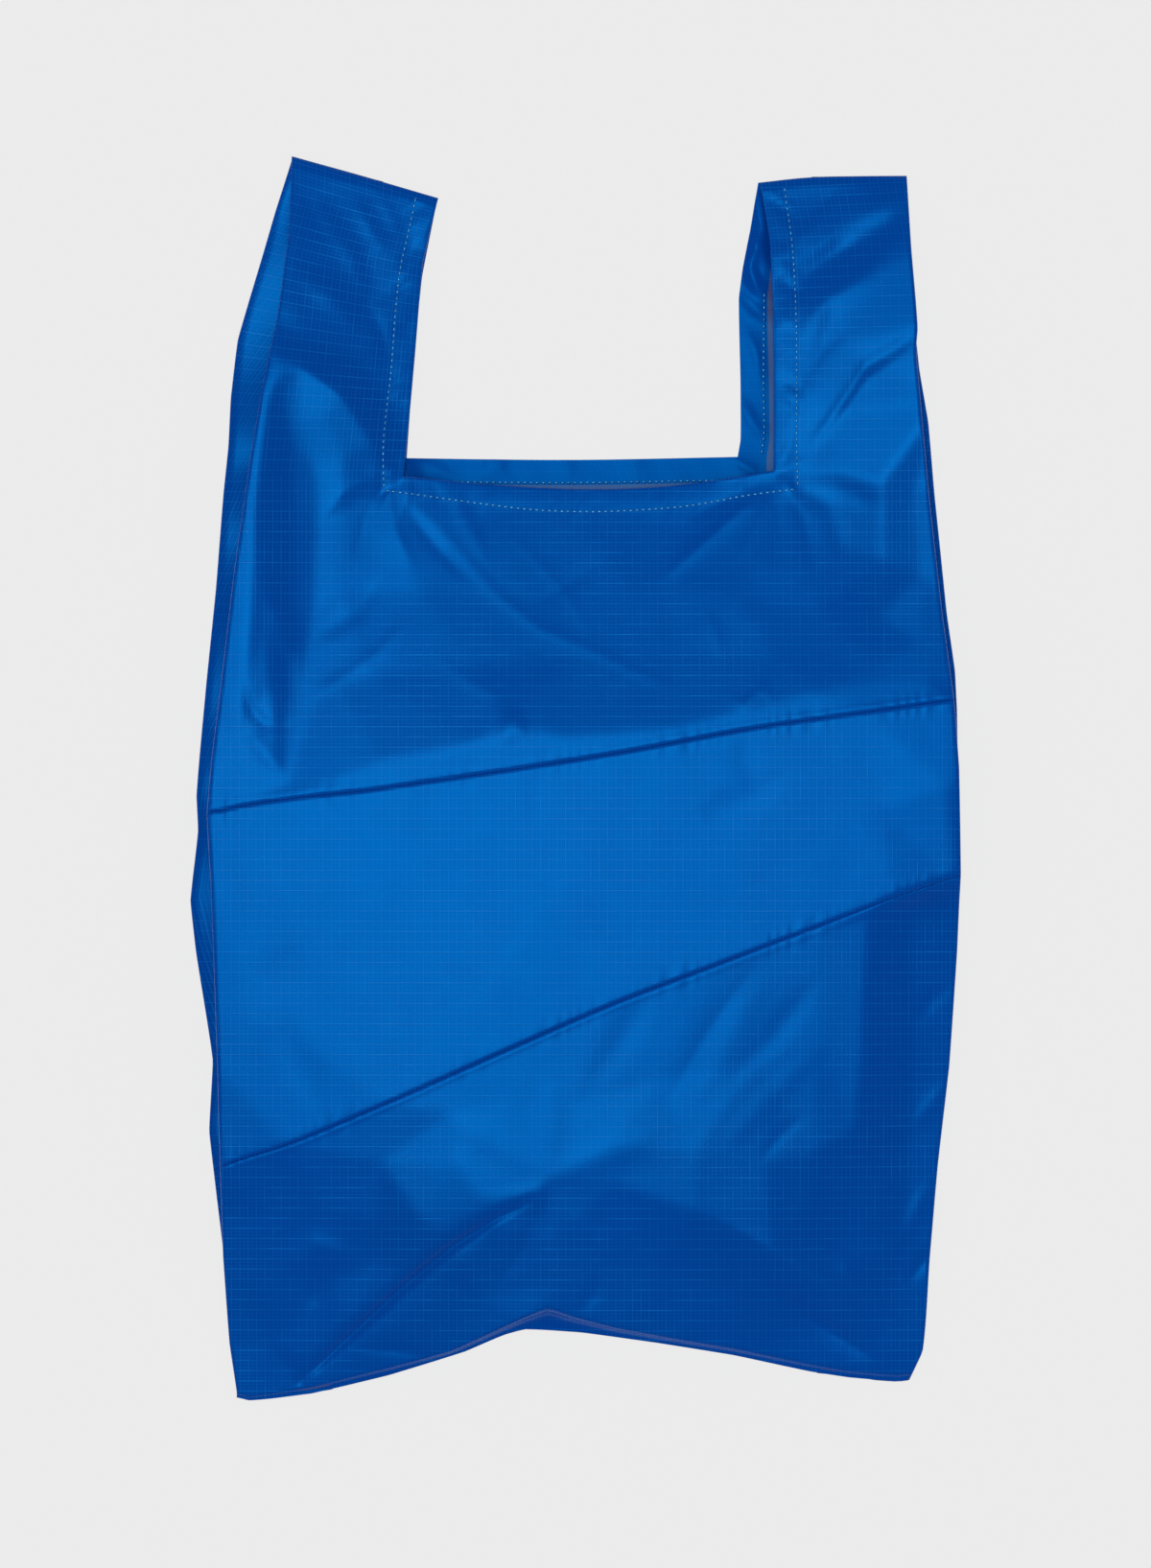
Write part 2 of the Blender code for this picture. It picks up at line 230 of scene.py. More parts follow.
FRONT_MOUTH = smooth_line(
    (-86, 149.4), (-75, 148.2), (-56, 146.3), (-18, 143.4), (5, 142.6), (48, 144.4), (67, 146.8), (99, 152)
)
BACK_MOUTH = smooth_line((-84, 158.2), (0, 157.4), (82, 158.9))
STRAP_TOP = {
    LEFT: smooth_line((-139.5, 307.6), (-103, 297.4), (-67, 286.9)),
    RIGHT: smooth_line((91, 294.6), (116, 297.2), (140, 297.8), (164.6, 298)),
}
UPPER_SEAM = smooth_line(
    (-187, -27), (-181, -18), (-174, -16.2), (-94, -5.2), (20, 11.9), (96, 25.6), (143, 32.2), (188, 38.6)
)
LOWER_SEAM = smooth_line(
    (-180, -195), (-174, -192), (-142, -181), (-94, -161), (-37, -135.8), (20, -111.1), (70, -92.1),
    (120, -73.1), (158, -59), (191, -48),
)
BASE_SEAM = bent_line(
    (-166, -307), (-161, -308.3), (-130, -304.9), (-92, -295.9), (-54, -284.1), (-35, -276), (-25, -273.1),
    (3, -274.6), (41, -279.8), (79, -285.9), (117, -294), (136, -296.9), (160, -298.8), (167, -298),
)
BASE_FOLD = bent_line(
    (-166, -304.8), (-161, -306.3), (-130, -301.5), (-92, -292), (-61, -283.5), (-47, -277), (-26, -267.2),
    (-13, -261.7), (0, -266.2), (20, -271.6), (48, -277), (79, -282.4), (117, -290.4), (136, -293.8),
    (160, -295.8), (167, -295),
)

# The lie of the front. Each list is a line of cloth, as (x, y, height above the floor).

LIE_OF_FRONT = (
    # just outside the left fold, from the base up
    ((-176, -312, 3), (-182, -280, 5), (-184, -240, 9), (-186, -195, 15.6), (-188, -130, 19),
     (-191, -60, 20), (-192, -15, 20.2), (-188, 40, 19.2), (-178, 100, 19.4), (-170, 157, 18.2),
     (-162, 195, 16.6), (-156, 228, 13.8), (-151, 271, 8), (-150, 300, 4), (-148, 320, 3)),
    # just outside the right fold
    ((176, -306, 3), (183, -280, 4.5), (187, -240, 6.5), (190, -192, 8.4), (195, -142, 10),
     (198, -85, 12.4), (200, -62, 14.5), (200, -46, 22.5), (200, 5, 24.6), (197, 38, 23.4),
     (192, 81, 20), (185, 138, 16), (181, 186, 14), (179, 222, 13.4), (176, 262, 10.6),
     (174, 286, 6.6), (174, 300, 3.4), (172, 320, 3)),
    # base fold
    ((-166, -307, 3.5), (-130, -303, 4.5), (-92, -293, 8), (-61, -285, 11), (-47, -279, 13.4),
     (-26, -269, 16.4), (-13, -263, 17.4), (0, -267, 16.6), (20, -273, 15.4), (48, -278, 13),
     (79, -284, 10), (117, -292, 7), (136, -296, 5.5), (163, -298, 4)),
    # long crease from the left corner to the pinch, its high side and its low side
    ((-130, -290, 7.5), (-108, -271, 11.6), (-80, -246, 17.2), (-60, -229, 21.2), (-40, -217, 22.9),
     (-18, -205, 23.9)),
    ((-124, -293, 6), (-104, -276, 9.6), (-76, -251, 14.8), (-57, -234, 18.8), (-37, -222, 20.8),
     (-14, -211, 22.6)),
    # left part of the lower band
    ((-172, -215, 13), (-170, -250, 9)),
    ((-150, -215, 15), (-150, -250, 10.5), (-150, -280, 6.5)),
    ((-120, -215, 17), (-120, -250, 12)),
    ((-95, -190, 20.8), (-98, -218, 17.8), (-96, -238, 14.8)),
    ((-78, -216, 21.2), (-58, -192, 23.4), (-12, -197, 23.8)),
    ((-45, -207, 23.3),),
    # below the pinch
    ((-12, -197, 23.8), (20, -200, 23.6), (60, -214, 22.8), (98, -233, 20.2), (120, -250, 16.2),
     (148, -284, 7.6)),
    ((-12, -230, 21), (-10, -250, 18.8)),
    ((-45, -255, 15.6),),
    ((40, -245, 17.6),),
    ((80, -252, 14.8), (120, -273, 9)),
    # centre and right of the lower band
    ((-60, -165, 23.2), (-30, -160, 23.8), (0, -160, 24), (40, -150, 23.8), (90, -140, 23.4),
     (120, -130, 23)),
    ((20, -180, 24.6), (60, -185, 24), (95, -190, 22.4), (118, -186, 21.2)),
    ((96, -211, 21.6), (116, -212, 18.8), (130, -230, 13)),
    ((147, -68, 24), (145, -100, 23.4), (144, -140, 22), (140, -175, 20.4), (137, -200, 15.6)),
    ((165, -66, 17.4), (166, -100, 15), (166, -140, 12.8), (164, -180, 10.8), (163, -230, 8.4)),
    # lower seam
    ((-176, -193, 17.2), (-142, -181, 20), (-94, -161, 22.6), (-37, -136, 24), (20, -111, 24.4),
     (70, -92, 24.6), (120, -73, 24.8), (158, -59, 24.9), (188, -49, 24)),
    # middle band
    ((-176, -110, 20), (-160, -110, 20.8), (-100, -110, 22.8), (-40, -100, 24.2)),
    ((-178, -60, 20.6), (-160, -55, 21.4), (-100, -55, 23.2), (0, -50, 24.6), (100, -30, 25),
     (150, -15, 25), (184, -5, 25.4)),
    # upper seam
    ((-181, -17, 20.4), (-165, -14, 21), (-140, -10, 21.8), (-94, -5, 23.2), (20, 12, 24.6),
     (96, 25, 24.8), (143, 32, 24.9), (186, 38, 24.4)),
    # where the upper band falls away from the seam
    ((-142, -3, 21), (-95, 8, 23), (-50, 17, 24), (-33, 27, 23.6), (0, 20, 24.3), (50, 24, 24.6),
     (80, 32, 24.5), (120, 42, 24.2), (152, 48, 23.6), (172, 50, 23.4)),
    # ridge beside the left fold, and the hollow to its right
    ((-166, 20, 20.4), (-162, 45, 20.8), (-160, 80, 20.8), (-157, 130, 19.8), (-149, 195, 17.6)),
    ((-147, 12, 20.8), (-149, 45, 19.8), (-151, 80, 19.4), (-151, 130, 18), (-149, 165, 17.2),
     (-147, 185, 17)),
    ((-143, 8, 20.4), (-141, 45, 18), (-140, 80, 16.4), (-139, 130, 14.4), (-140, 165, 15),
     (-144, 188, 16.4)),
    ((-138, 12, 20), (-134, 45, 17.6), (-129, 80, 15), (-127, 125, 12.8), (-129, 155, 13.6),
     (-136, 178, 15.4)),
    ((-122, 50, 17.4), (-116, 92, 14.4), (-115, 130, 12.4), (-114, 158, 13.6), (-124, 178, 15.2)),
    # facets of the upper band
    ((-100, 50, 17.8), (-50, 55, 18.8), (0, 58, 19.2), (50, 62, 19.4)),
    ((-98, 92, 14), (-75, 92, 14.2), (-20, 90, 15), (30, 92, 15.4)),
    ((-98, 128, 11.8), (-60, 120, 11.6), (0, 125, 11), (50, 122, 11.4)),
    ((45, 98, 14.8), (80, 89, 17.2), (120, 83, 18.2), (150, 80, 18.8), (170, 66, 21.6)),
    ((100, 58, 21.4), (150, 56, 22.6)),
    ((70, 122, 12.2), (100, 120, 13.8), (125, 116, 14.2), (152, 108, 14.2), (171, 100, 18)),
    ((108, 148, 10.8), (130, 150, 11), (152, 146, 11.4), (168, 142, 14.6)),
    # mouth, with the cloth beyond it
    ((-90, 146, 10.4), (-56, 143, 9.2), (-18, 140, 9.2), (5, 139, 9.3), (48, 141, 9.3),
     (67, 144, 9.4), (101, 149, 10.2)),
    ((-60, 170, 6.2), (0, 170, 6), (70, 170, 6.4)),
    # left strap
    ((-146, 208, 16.8), (-136, 204, 16.2), (-115, 190, 15.2), (-98, 165, 12.8), (-90, 152, 10.6)),
    ((-134, 216, 13.4), (-112, 206, 10.8), (-94, 186, 8.2), (-84, 166, 8.4)),
    ((-140, 235, 12.6), (-118, 240, 9.6), (-100, 240, 7), (-76, 240, 4.8)),
    ((-139, 265, 9), (-105, 262, 6.2), (-72, 262, 4.2)),
    ((-138, 290, 5.4), (-100, 286, 4), (-68, 282, 3.4)),
    ((-142, 312, 3), (-100, 302, 3), (-60, 294, 3)),
    # right strap
    ((97, 168, 10.4), (97, 205, 10.2), (96, 238, 8.6), (94, 266, 6), (91, 284, 3.8)),
    ((128, 180, 12.8), (132, 215, 11.6), (132, 245, 9.6), (130, 268, 6.8), (128, 287, 3.8)),
    ((84, 300, 3), (130, 302, 3), (170, 302, 3)),
)
LIE_SOFTNESS = 2.2
FOLD_SOFTNESS = 0.7
PATTERN_STEP = 4
CREASE_HEIGHT = smooth_line(
    (-306, 3.2), (-292, 4.5), (-270, 8), (-235, 11), (-180, 14), (0, 17), (100, 16), (150, 15),
    (220, 12), (271, 8), (300, 3.6), (308, 3),
)

# A map of the front's height, one number for each millimetre, made from the lists above and below
MAP_LEFT, MAP_LOW = -206, -322
MAP_WIDTH, MAP_HEIGHT = 412, 648


def mouth_distance(x, y, inner, mouth):
    """How far a point of the front or back lies from the hemmed edge."""
    outside = np.where(x < 0, inner[LEFT](y) - x, x - inner[RIGHT](y))
    return np.maximum(0, np.maximum(outside, mouth(x) - y))


# Folds. Each is (points, height, width, profile), from a few chosen points in millimetres.

SOFT, SHARP = "soft", "sharp"
FRONT_FOLDS = (
    # facets and thin lines of the upper band
    (((-84, 141), (-61, 117), (-40, 92), (-18, 74), (10, 62), (30, 52), (52, 43)), 0.24, 2.4, SHARP),
    (((-84, 134), (-68, 114), (-52, 98)), -0.4, 3.0, SHARP),
    (((-30, 118), (-16, 104), (-2, 88), (8, 70)), 0.14, 2.5, SHARP),
    (((14, 108), (-2, 96), (-22, 84)), -0.14, 3.0, SHARP),
    (((-60, 140), (-52, 124), (-44, 108)), 0.25, 4.0, SOFT),
    (((-92, 144), (-88, 122), (-80, 104)), 0.4, 4.0, SHARP),
    (((-95, 144), (-104, 126), (-108, 108)), -0.35, 4.0, SHARP),
    (((-100, 148), (-114, 141), (-124, 128)), 0.4, 4.0, SHARP),
    (((-127, 42), (-110, 52), (-96, 62), (-84, 76)), 0.4, 4.0, SHARP),
    (((-125, 70), (-108, 82), (-98, 96)), -0.35, 5.0, SOFT),
    (((-66, 58), (-50, 46), (-38, 40)), 0.25, 3.0, SHARP),
    (((96, 143), (80, 130), (62, 114), (45, 99)), 0.7, 4.0, SHARP),
    (((92, 146), (76, 138), (58, 128)), -0.4, 4.0, SHARP),
    (((98, 140), (90, 124), (82, 108)), 0.25, 4.0, SHARP),
    (((101, 140), (101, 122), (98, 104)), -0.3, 4.0, SHARP),
    (((106, 142), (114, 126), (118, 104)), -0.3, 4.0, SHARP),
    (((110, 144), (126, 134), (132, 112)), -0.3, 5.0, SOFT),
    (((108, 147), (128, 146), (150, 134)), 0.3, 6.0, SOFT),
    (((66, 82), (70, 70), (73, 58)), 0.22, 1.8, SHARP),
    (((76, 40), (84, 36), (92, 44), (98, 38)), 0.35, 2.5, SHARP),
    # dent at the left, above the upper seam
    (((-164, 46), (-159, 33), (-152, 26), (-140, 26)), -0.7, 1.8, SHARP),
    (((-160, 22), (-152, 12), (-145, 4)), 0.4, 4.0, SOFT),
    (((-150, 90), (-144, 76), (-140, 60)), 0.7, 5.0, SOFT),
    # left strap
    (((-143, 208), (-128, 200), (-115, 190), (-104, 176), (-96, 164)), 0.7, 4.0, SHARP),
    (((-136, 250), (-122, 240), (-108, 225)), 0.6, 6.0, SOFT),
    (((-108, 285), (-100, 270), (-92, 262)), 0.6, 4.0, SHARP),
    (((-98, 290), (-92, 280), (-86, 268)), 0.4, 4.0, SHARP),
    (((-104, 236), (-96, 222), (-92, 206)), -0.5, 4.0, SHARP),
    (((-128, 285), (-112, 262), (-104, 244)), 0.45, 5.0, SOFT),
    # right strap
    (((98, 232), (114, 247), (134, 261), (160, 276)), -1.5, 9.0, SOFT),
    (((106, 262), (118, 273), (132, 288)), 0.35, 4.0, SHARP),
    (((110, 214), (128, 236), (150, 252)), 0.5, 7.0, SOFT),
    (((172, 222), (158, 211), (144, 203), (136, 190), (125, 175), (115, 162)), -0.9, 2.6, SHARP),
    (((168, 212), (154, 203), (142, 195), (130, 176)), 0.5, 3.5, SHARP),
    (((120, 210), (126, 222), (128, 236)), -0.3, 5.0, SOFT),
    (((104, 170), (112, 182), (116, 196)), 0.35, 4.0, SHARP),
    (((112, 182), (120, 192), (124, 206)), 0.2, 3.0, SHARP),
    (((112, 196), (122, 210), (136, 222)), -0.25, 3.0, SHARP),
    (((113, 224), (126, 238), (146, 248)), 0.3, 3.0, SHARP),
    (((112, 246), (124, 256), (142, 266)), -0.3, 3.0, SHARP),
    (((114, 258), (124, 264), (134, 276)), 0.35, 3.0, SHARP),
    (((110, 272), (120, 280), (128, 290)), -0.3, 3.0, SHARP),
    (((140, 276), (152, 282), (162, 290)), 0.25, 4.0, SOFT),
    (((97, 268), (103, 264), (109, 268)), -0.5, 1.6, SHARP),
    (((96, 257), (103, 260), (109, 262)), 0.4, 1.6, SHARP),
    (((98, 240), (104, 246), (110, 247)), -0.5, 1.6, SHARP),
    (((99, 222), (105, 226), (110, 225)), 0.3, 1.6, SHARP),
    (((99, 196), (105, 193), (110, 196)), -0.3, 1.6, SHARP),
    (((-67, 282), (-74, 272), (-78, 262)), 0.4, 2.0, SHARP),
    (((-73, 262), (-80, 262), (-86, 254)), -0.6, 2.0, SHARP),
    (((-76, 250), (-81, 246), (-87, 248)), 0.4, 1.6, SHARP),
    (((-78, 226), (-84, 222), (-90, 224)), -0.4, 1.6, SHARP),
    (((-79, 206), (-86, 202), (-92, 206)), 0.3, 1.6, SHARP),
    (((-82, 182), (-88, 186), (-94, 182)), -0.4, 1.6, SHARP),
    (((-86, 268), (-98, 262), (-112, 258)), 0.35, 3.0, SHARP),
    (((-90, 242), (-104, 234), (-116, 234)), -0.35, 4.0, SHARP),
    # puckers at the two corners of the mouth
    (((-84, 149), (-89, 156), (-96, 164)), -0.5, 2.0, SHARP),
    (((-85, 149), (-93, 150), (-102, 154)), 0.4, 2.0, SHARP),
    (((-85, 148), (-92, 143), (-100, 138)), -0.4, 2.0, SHARP),
    (((-82, 148), (-82, 140), (-86, 130)), 0.4, 2.0, SHARP),
    (((-70, 147), (-68, 140), (-66, 136)), -0.25, 1.6, SHARP),
    (((99, 151), (104, 158), (108, 168)), 0.4, 2.0, SHARP),
    (((100, 151), (108, 153), (118, 158)), -0.4, 2.0, SHARP),
    (((100, 150), (106, 144), (110, 136)), 0.4, 2.0, SHARP),
    (((95, 150), (92, 142), (86, 134)), -0.4, 2.0, SHARP),
    (((84, 149), (82, 142), (80, 137)), 0.25, 1.6, SHARP),
    # under the upper seam
    (((-74, 0), (-70, -10), (-62, -20)), -0.15, 6.0, SOFT),
    (((-22, 4), (-18, -10), (-20, -24)), -0.15, 6.0, SOFT),
    (((84, 20), (84, 8), (90, -4)), -0.15, 6.0, SOFT),
    (((100, 0), (84, -12), (62, -20)), -0.3, 8.0, SOFT),
    (((-36, 18), (-30, 26), (-24, 20)), 0.5, 5.0, SOFT),
    # left of the middle band
    (((-134, -84), (-150, -100), (-160, -120)), -0.25, 10.0, SOFT),
    (((-144, -120), (-136, -140), (-126, -162)), -0.15, 8.0, SOFT),
    # under the lower seam, to the right
    (((90, -92), (76, -110), (62, -132), (48, -156)), -0.2, 5.0, SHARP),
    (((96, -98), (84, -116), (74, -136), (62, -158)), 0.12, 6.0, SOFT),
    (((36, -108), (24, -128), (8, -152)), -0.2, 7.0, SOFT),
    (((118, -102), (98, -128), (78, -149)), -0.25, 6.0, SOFT),
    (((112, -168), (102, -176), (92, -188)), -0.35, 3.0, SHARP),
    (((116, -138), (96, -158), (74, -182)), 0.2, 6.0, SOFT),
    (((-12, -150), (-10, -172), (-12, -194)), 0.22, 7.0, SOFT),
    (((-60, -170), (-36, -182), (-14, -195)), 0.2, 7.0, SOFT),
    (((40, -176), (14, -188), (-8, -196)), 0.2, 7.0, SOFT),
    # under the pinch
    (((-14, -210), (-22, -228), (-34, -246)), -0.5, 5.0, SOFT),
    (((-2, -214), (8, -226), (22, -238)), 0.25, 5.0, SOFT),
    (((4, -262), (10, -254), (12, -246)), -0.4, 4.0, SOFT),
    (((76, -220), (98, -233), (120, -246), (138, -262), (149, -282)), 0.7, 4.0, SHARP),
    (((92, -240), (100, -254), (114, -266), (134, -277), (150, -288)), -2.4, 5.5, SHARP),
    (((130, -238), (146, -252), (160, -272)), 0.6, 5.0, SOFT),
    # the long crease itself
    (((-136, -299), (-112, -277), (-86, -253), (-61, -232), (-40, -218), (-22, -209)), -5.0, 2.7, SHARP),
    # lower left corner
    (((-142, -242), (-128, -232), (-112, -236)), 0.7, 7.0, SOFT),
    (((-130, -262), (-127, -252), (-124, -246)), -0.4, 5.0, SOFT),
    (((-108, -282), (-88, -283), (-62, -287)), -0.6, 2.5, SHARP),
    # right edge of the lower band
    (((168, -172), (178, -160), (186, -150)), 0.5, 4.0, SOFT),
    (((160, -232), (168, -216), (176, -200)), 0.4, 4.0, SOFT),
    (((170, -118), (178, -108), (186, -104)), -0.5, 4.0, SOFT),
    (((164, -250), (172, -240), (178, -232)), -0.7, 3.0, SHARP),
)
BACK_FOLDS = (
    # the strip of back seen beyond the left fold
    (((-168, 186), (-162, 190), (-152, 196)), 0.7, 2.6, SHARP),
    (((-170, 200), (-160, 212), (-150, 218)), -0.35, 3.0, SHARP),
    (((-154, 262), (-148, 266), (-142, 272)), 0.7, 2.4, SHARP),
    (((-189, -14), (-184, -6), (-180, 4)), 0.6, 2.4, SHARP),
    (((-190, -40), (-184, -30), (-180, -22)), -0.4, 2.4, SHARP),
    (((-189, -70), (-184, -84), (-180, -100)), 0.5, 3.0, SHARP),
    # folded facets of the right strap, seen beside its inner edge
    (((90, 292), (93, 272), (87, 254), (91, 238)), 3.0, 3.0, SHARP),
    (((84, 270), (92, 262), (97, 246)), 2.2, 2.6, SHARP),
    (((83, 252), (90, 246), (97, 232)), 1.6, 2.4, SHARP),
    (((82, 240), (90, 232), (98, 226)), 1.6, 2.4, SHARP),
    (((84, 222), (90, 212), (92, 196)), 0.8, 2.4, SHARP),
    (((83, 186), (88, 176), (95, 168)), 0.9, 2.4, SHARP),
    # creases in the hem of the mouth
    (((-5, 162), (-3, 144)), 1.7, 1.4, SHARP),
    (((29, 162), (31, 144)), 1.7, 1.4, SHARP),
    (((-44, 164), (-40, 156), (-35, 146)), 1.3, 1.8, SHARP),
    (((-47, 146), (-42, 155)), 0.6, 1.4, SHARP),
    (((-88, 164), (-85, 154), (-80, 142)), 3.2, 5.5, SHARP),
    (((-76, 158), (-68, 152), (-60, 148)), 0.8, 2.0, SHARP),
    (((78, 158), (92, 150)), 0.8, 2.4, SHARP),
)


def stroke_height(x, y, points, height, width, profile):
    """One fold: its height above the cloth, highest along the line and gone at the line's two ends."""
    nearest = np.full(x.shape, 1e9)
    along = np.zeros(x.shape)
    lengths = [math.dist(a, b) for a, b in zip(points, points[1:])]
    total, passed = sum(lengths), 0.0
    for (ax, ay), (bx, by), length in zip(points, points[1:], lengths):
        ux, uy = (bx - ax) / length, (by - ay) / length
        t = np.clip((x - ax) * ux + (y - ay) * uy, 0, length)
        away = np.hypot(x - ax - t * ux, y - ay - t * uy)
        closer = away < nearest
        nearest = np.where(closer, away, nearest)
        along = np.where(closer, (passed + t) / total, along)
        passed += length
    taper = np.sin(math.pi * np.clip(along, 0.02, 0.98)) ** 0.6
    wide = width * (0.5 + 0.5 * taper)
    shape = np.exp(-nearest / wide) if profile == SHARP else bell(nearest, wide)
    return height * taper * shape


def folded(x, y, folds):
    total = np.zeros(x.shape)
    for points, height, width, profile in folds:
        reach = 4 * width
        near = (x > min(p[0] for p in points) - reach) & (x < max(p[0] for p in points) + reach)
        near &= (y > min(p[1] for p in points) - reach) & (y < max(p[1] for p in points) + reach)
        total[near] += stroke_height(x[near], y[near], points, height, width, profile)
    return total


def laid(x, y, lines):
    """The height of flat facets of cloth stretched between lines of chosen points."""
    points, joined = [], []
    for line in lines:
        joined += [(len(points) + step, len(points) + step + 1) for step in range(len(line) - 1)]
        points += line
    flat = [Vector(point[:2]) for point in points]
    corners, _, triangles, sources, _, _ = geometry.delaunay_2d_cdt(flat, joined, [], 0, 0.01)
    heights = [np.mean([points[source][2] for source in found]) if found else None for found in sources]
    total = np.full(x.shape, 3.0)
    for triangle in triangles:
        if any(heights[corner] is None for corner in triangle):
            raise ValueError("two lines of the front's lie cross")
        (ax, ay), (bx, by), (cx, cy) = (corners[corner] for corner in triangle)
        area = (bx - ax) * (cy - ay) - (cx - ax) * (by - ay)
        near = (x >= min(ax, bx, cx)) & (x <= max(ax, bx, cx))
        near &= (y >= min(ay, by, cy)) & (y <= max(ay, by, cy))
        px, py = x[near], y[near]
        second = ((px - ax) * (cy - ay) - (cx - ax) * (py - ay)) / area
        third = ((bx - ax) * (py - ay) - (px - ax) * (by - ay)) / area
        first = 1 - second - third
        inside = (first >= -1e-9) & (second >= -1e-9) & (third >= -1e-9)
        az, bz, cz = (heights[corner] for corner in triangle)
        total[near] = np.where(inside, first * az + second * bz + third * cz, total[near])
    return total


def softened(heights, softness):
    """Rounds off a map of heights. Softness is in millimetres."""
    reach = int(3 * softness) + 1
    weights = bell(np.arange(-reach, reach + 1), softness * math.sqrt(2))
    weights /= weights.sum()
    padded = np.pad(heights, reach, mode="edge")
    rows = sum(weight * padded[step : step + heights.shape[0]] for step, weight in enumerate(weights))
    return sum(weight * rows[:, step : step + heights.shape[1]] for step, weight in enumerate(weights))


def map_places(step):
    """x and y of the map's places, every so many millimetres."""
    reach = step if step > 1 else 0
    x = np.arange(0, MAP_WIDTH + reach, step) + MAP_LEFT
    y = np.arange(0, MAP_HEIGHT + reach, step) + MAP_LOW
    return np.meshgrid(x.astype(float), y.astype(float))


def spread_map(pattern):
    """A pattern over the whole map, worked out every few millimetres."""
    x, y = map_places(PATTERN_STEP)
    coarse = pattern(x, y)
    across, up = np.arange(MAP_WIDTH) / PATTERN_STEP, np.arange(MAP_HEIGHT) / PATTERN_STEP
    rows = np.array([np.interp(across, np.arange(coarse.shape[1]), row) for row in coarse])
    full = [np.interp(up, np.arange(len(rows)), column) for column in rows.T]
    return softened(np.array(full).T, 1.5)


def front_map():
    """The height of the front above the floor, without its hems and seams."""
    x, y = map_places(1)
    heights = softened(laid(x, y, LIE_OF_FRONT), LIE_SOFTNESS)
    heights += softened(folded(x, y, FRONT_FOLDS), FOLD_SOFTNESS)
    return heights + spread_map(lambda x, y: 0.03 * crumple(x, y, 22, 3.3) + 0.05 * facets(x, y, 26, 7.7))


def read_map(heights, x, y):
    """The height at any point, evenly between the map's numbers."""
    column = np.clip(x - MAP_LEFT, 0, MAP_WIDTH - 1.001)
    row = np.clip(y - MAP_LOW, 0, MAP_HEIGHT - 1.001)
    left, low = column.astype(int), row.astype(int)
    across_share, up_share = column - left, row - low
    bottom = mix(heights[low, left], heights[low, left + 1], across_share)
    top = mix(heights[low + 1, left], heights[low + 1, left + 1], across_share)
    return mix(bottom, top, up_share)


def crumple(x, y, size, seed):
    """Uneven small waves, about 1 high, with the given size."""
    places = np.stack([x / size, y / size, np.full(x.shape, seed)], axis=-1).reshape(-1, 3)
    values = [noise.fractal(Vector(place), 0.8, 2.0, 3) for place in places]
    return np.array(values).reshape(x.shape)


def facets(x, y, size, seed):
    """Flat-sided dents with straight creases between them, from 0 at a crease to about 1."""
    places = np.stack([x / size, y / size, np.full(x.shape, seed)], axis=-1).reshape(-1, 3)
    values = [noise.voronoi(Vector(place))[0] for place in places]
    return np.array([near[1] - near[0] for near in values]).reshape(x.shape)


def hem_height(x, y, inner, mouth, hem_width):
    """The rolled edge, the puffed double cloth and the small gathers of a hem."""
    away = mouth_distance(x, y, inner, mouth)
    roll = np.clip(1 - away / EDGE_ROLL, 0, 1)
    edge = -EDGE_ROLL * (1 - np.sqrt(1 - roll**2 + 1e-9))
    puff = HEM_PUFF * np.sin(math.pi * np.clip(away / hem_width, 0, 1))
    beside_strap = y > mouth(x)
    run = np.where(beside_strap, y + 0.7 * away, x + 0.5 * away)
    gathers = np.sin(run * 0.72 + 2.3 * np.sin(run * 0.21)) * (0.55 + 0.45 * np.sin(run * 0.13 + 1))
    reach = bell(away - hem_width * 0.75, 5.5) * np.where(beside_strap, STRAP_GATHERS, MOUTH_GATHERS)
    return edge + puff + gathers * reach


def seam_height(x, y, seam, lip_side):
    """The groove where two bands are sewn together, with the lip beside it and its small gathers."""
    away = y - seam(x)
    groove = -SEAM_GROOVE * bell(away, GROOVE_WIDTH)
    lip = SEAM_LIP * bell(away - lip_side * SEAM_STEPS[-1], LIP_WIDTH)
    gathers = np.sin(x * 0.9 + 2.4 * np.sin(x * 0.19)) * (0.5 + 0.5 * np.sin(x * 0.11 + 2))
    return groove + lip + SEAM_GATHERS * gathers * bell(away, GATHERS_WIDTH)


def front_height(x, y):
    """The height of the front of the bag above the floor."""
    height = read_map(FRONT_MAP, x, y)
    height = height + hem_height(x, y, FRONT_INNER, FRONT_MOUTH, HEM_STEPS[-1])
    return height + seam_height(x, y, UPPER_SEAM, 1) + seam_height(x, y, LOWER_SEAM, -1)


def back_map():
    """How far the back lifts off the floor."""
    x, y = map_places(1)
    heights = BACK_LIFT + softened(folded(x, y, BACK_FOLDS), FOLD_SOFTNESS)
    return heights + spread_map(lambda x, y: 0.15 * crumple(x, y, 30, 11.1) + 0.3 * facets(x, y, 34, 5.5))


def back_height(x, y):
    """The height of the back of the bag above the floor."""
    lift = read_map(BACK_MAP, x, y)
    for seam in (UPPER_SEAM, LOWER_SEAM):
        lift = lift + BACK_SEAM_RIDGE * bell(y - seam(x), 1.0)
    return np.maximum(lift, 0.05)


BACK_MAP = back_map()
FRONT_MAP = front_map()

# The loop of columns. A column is (part, side, share).


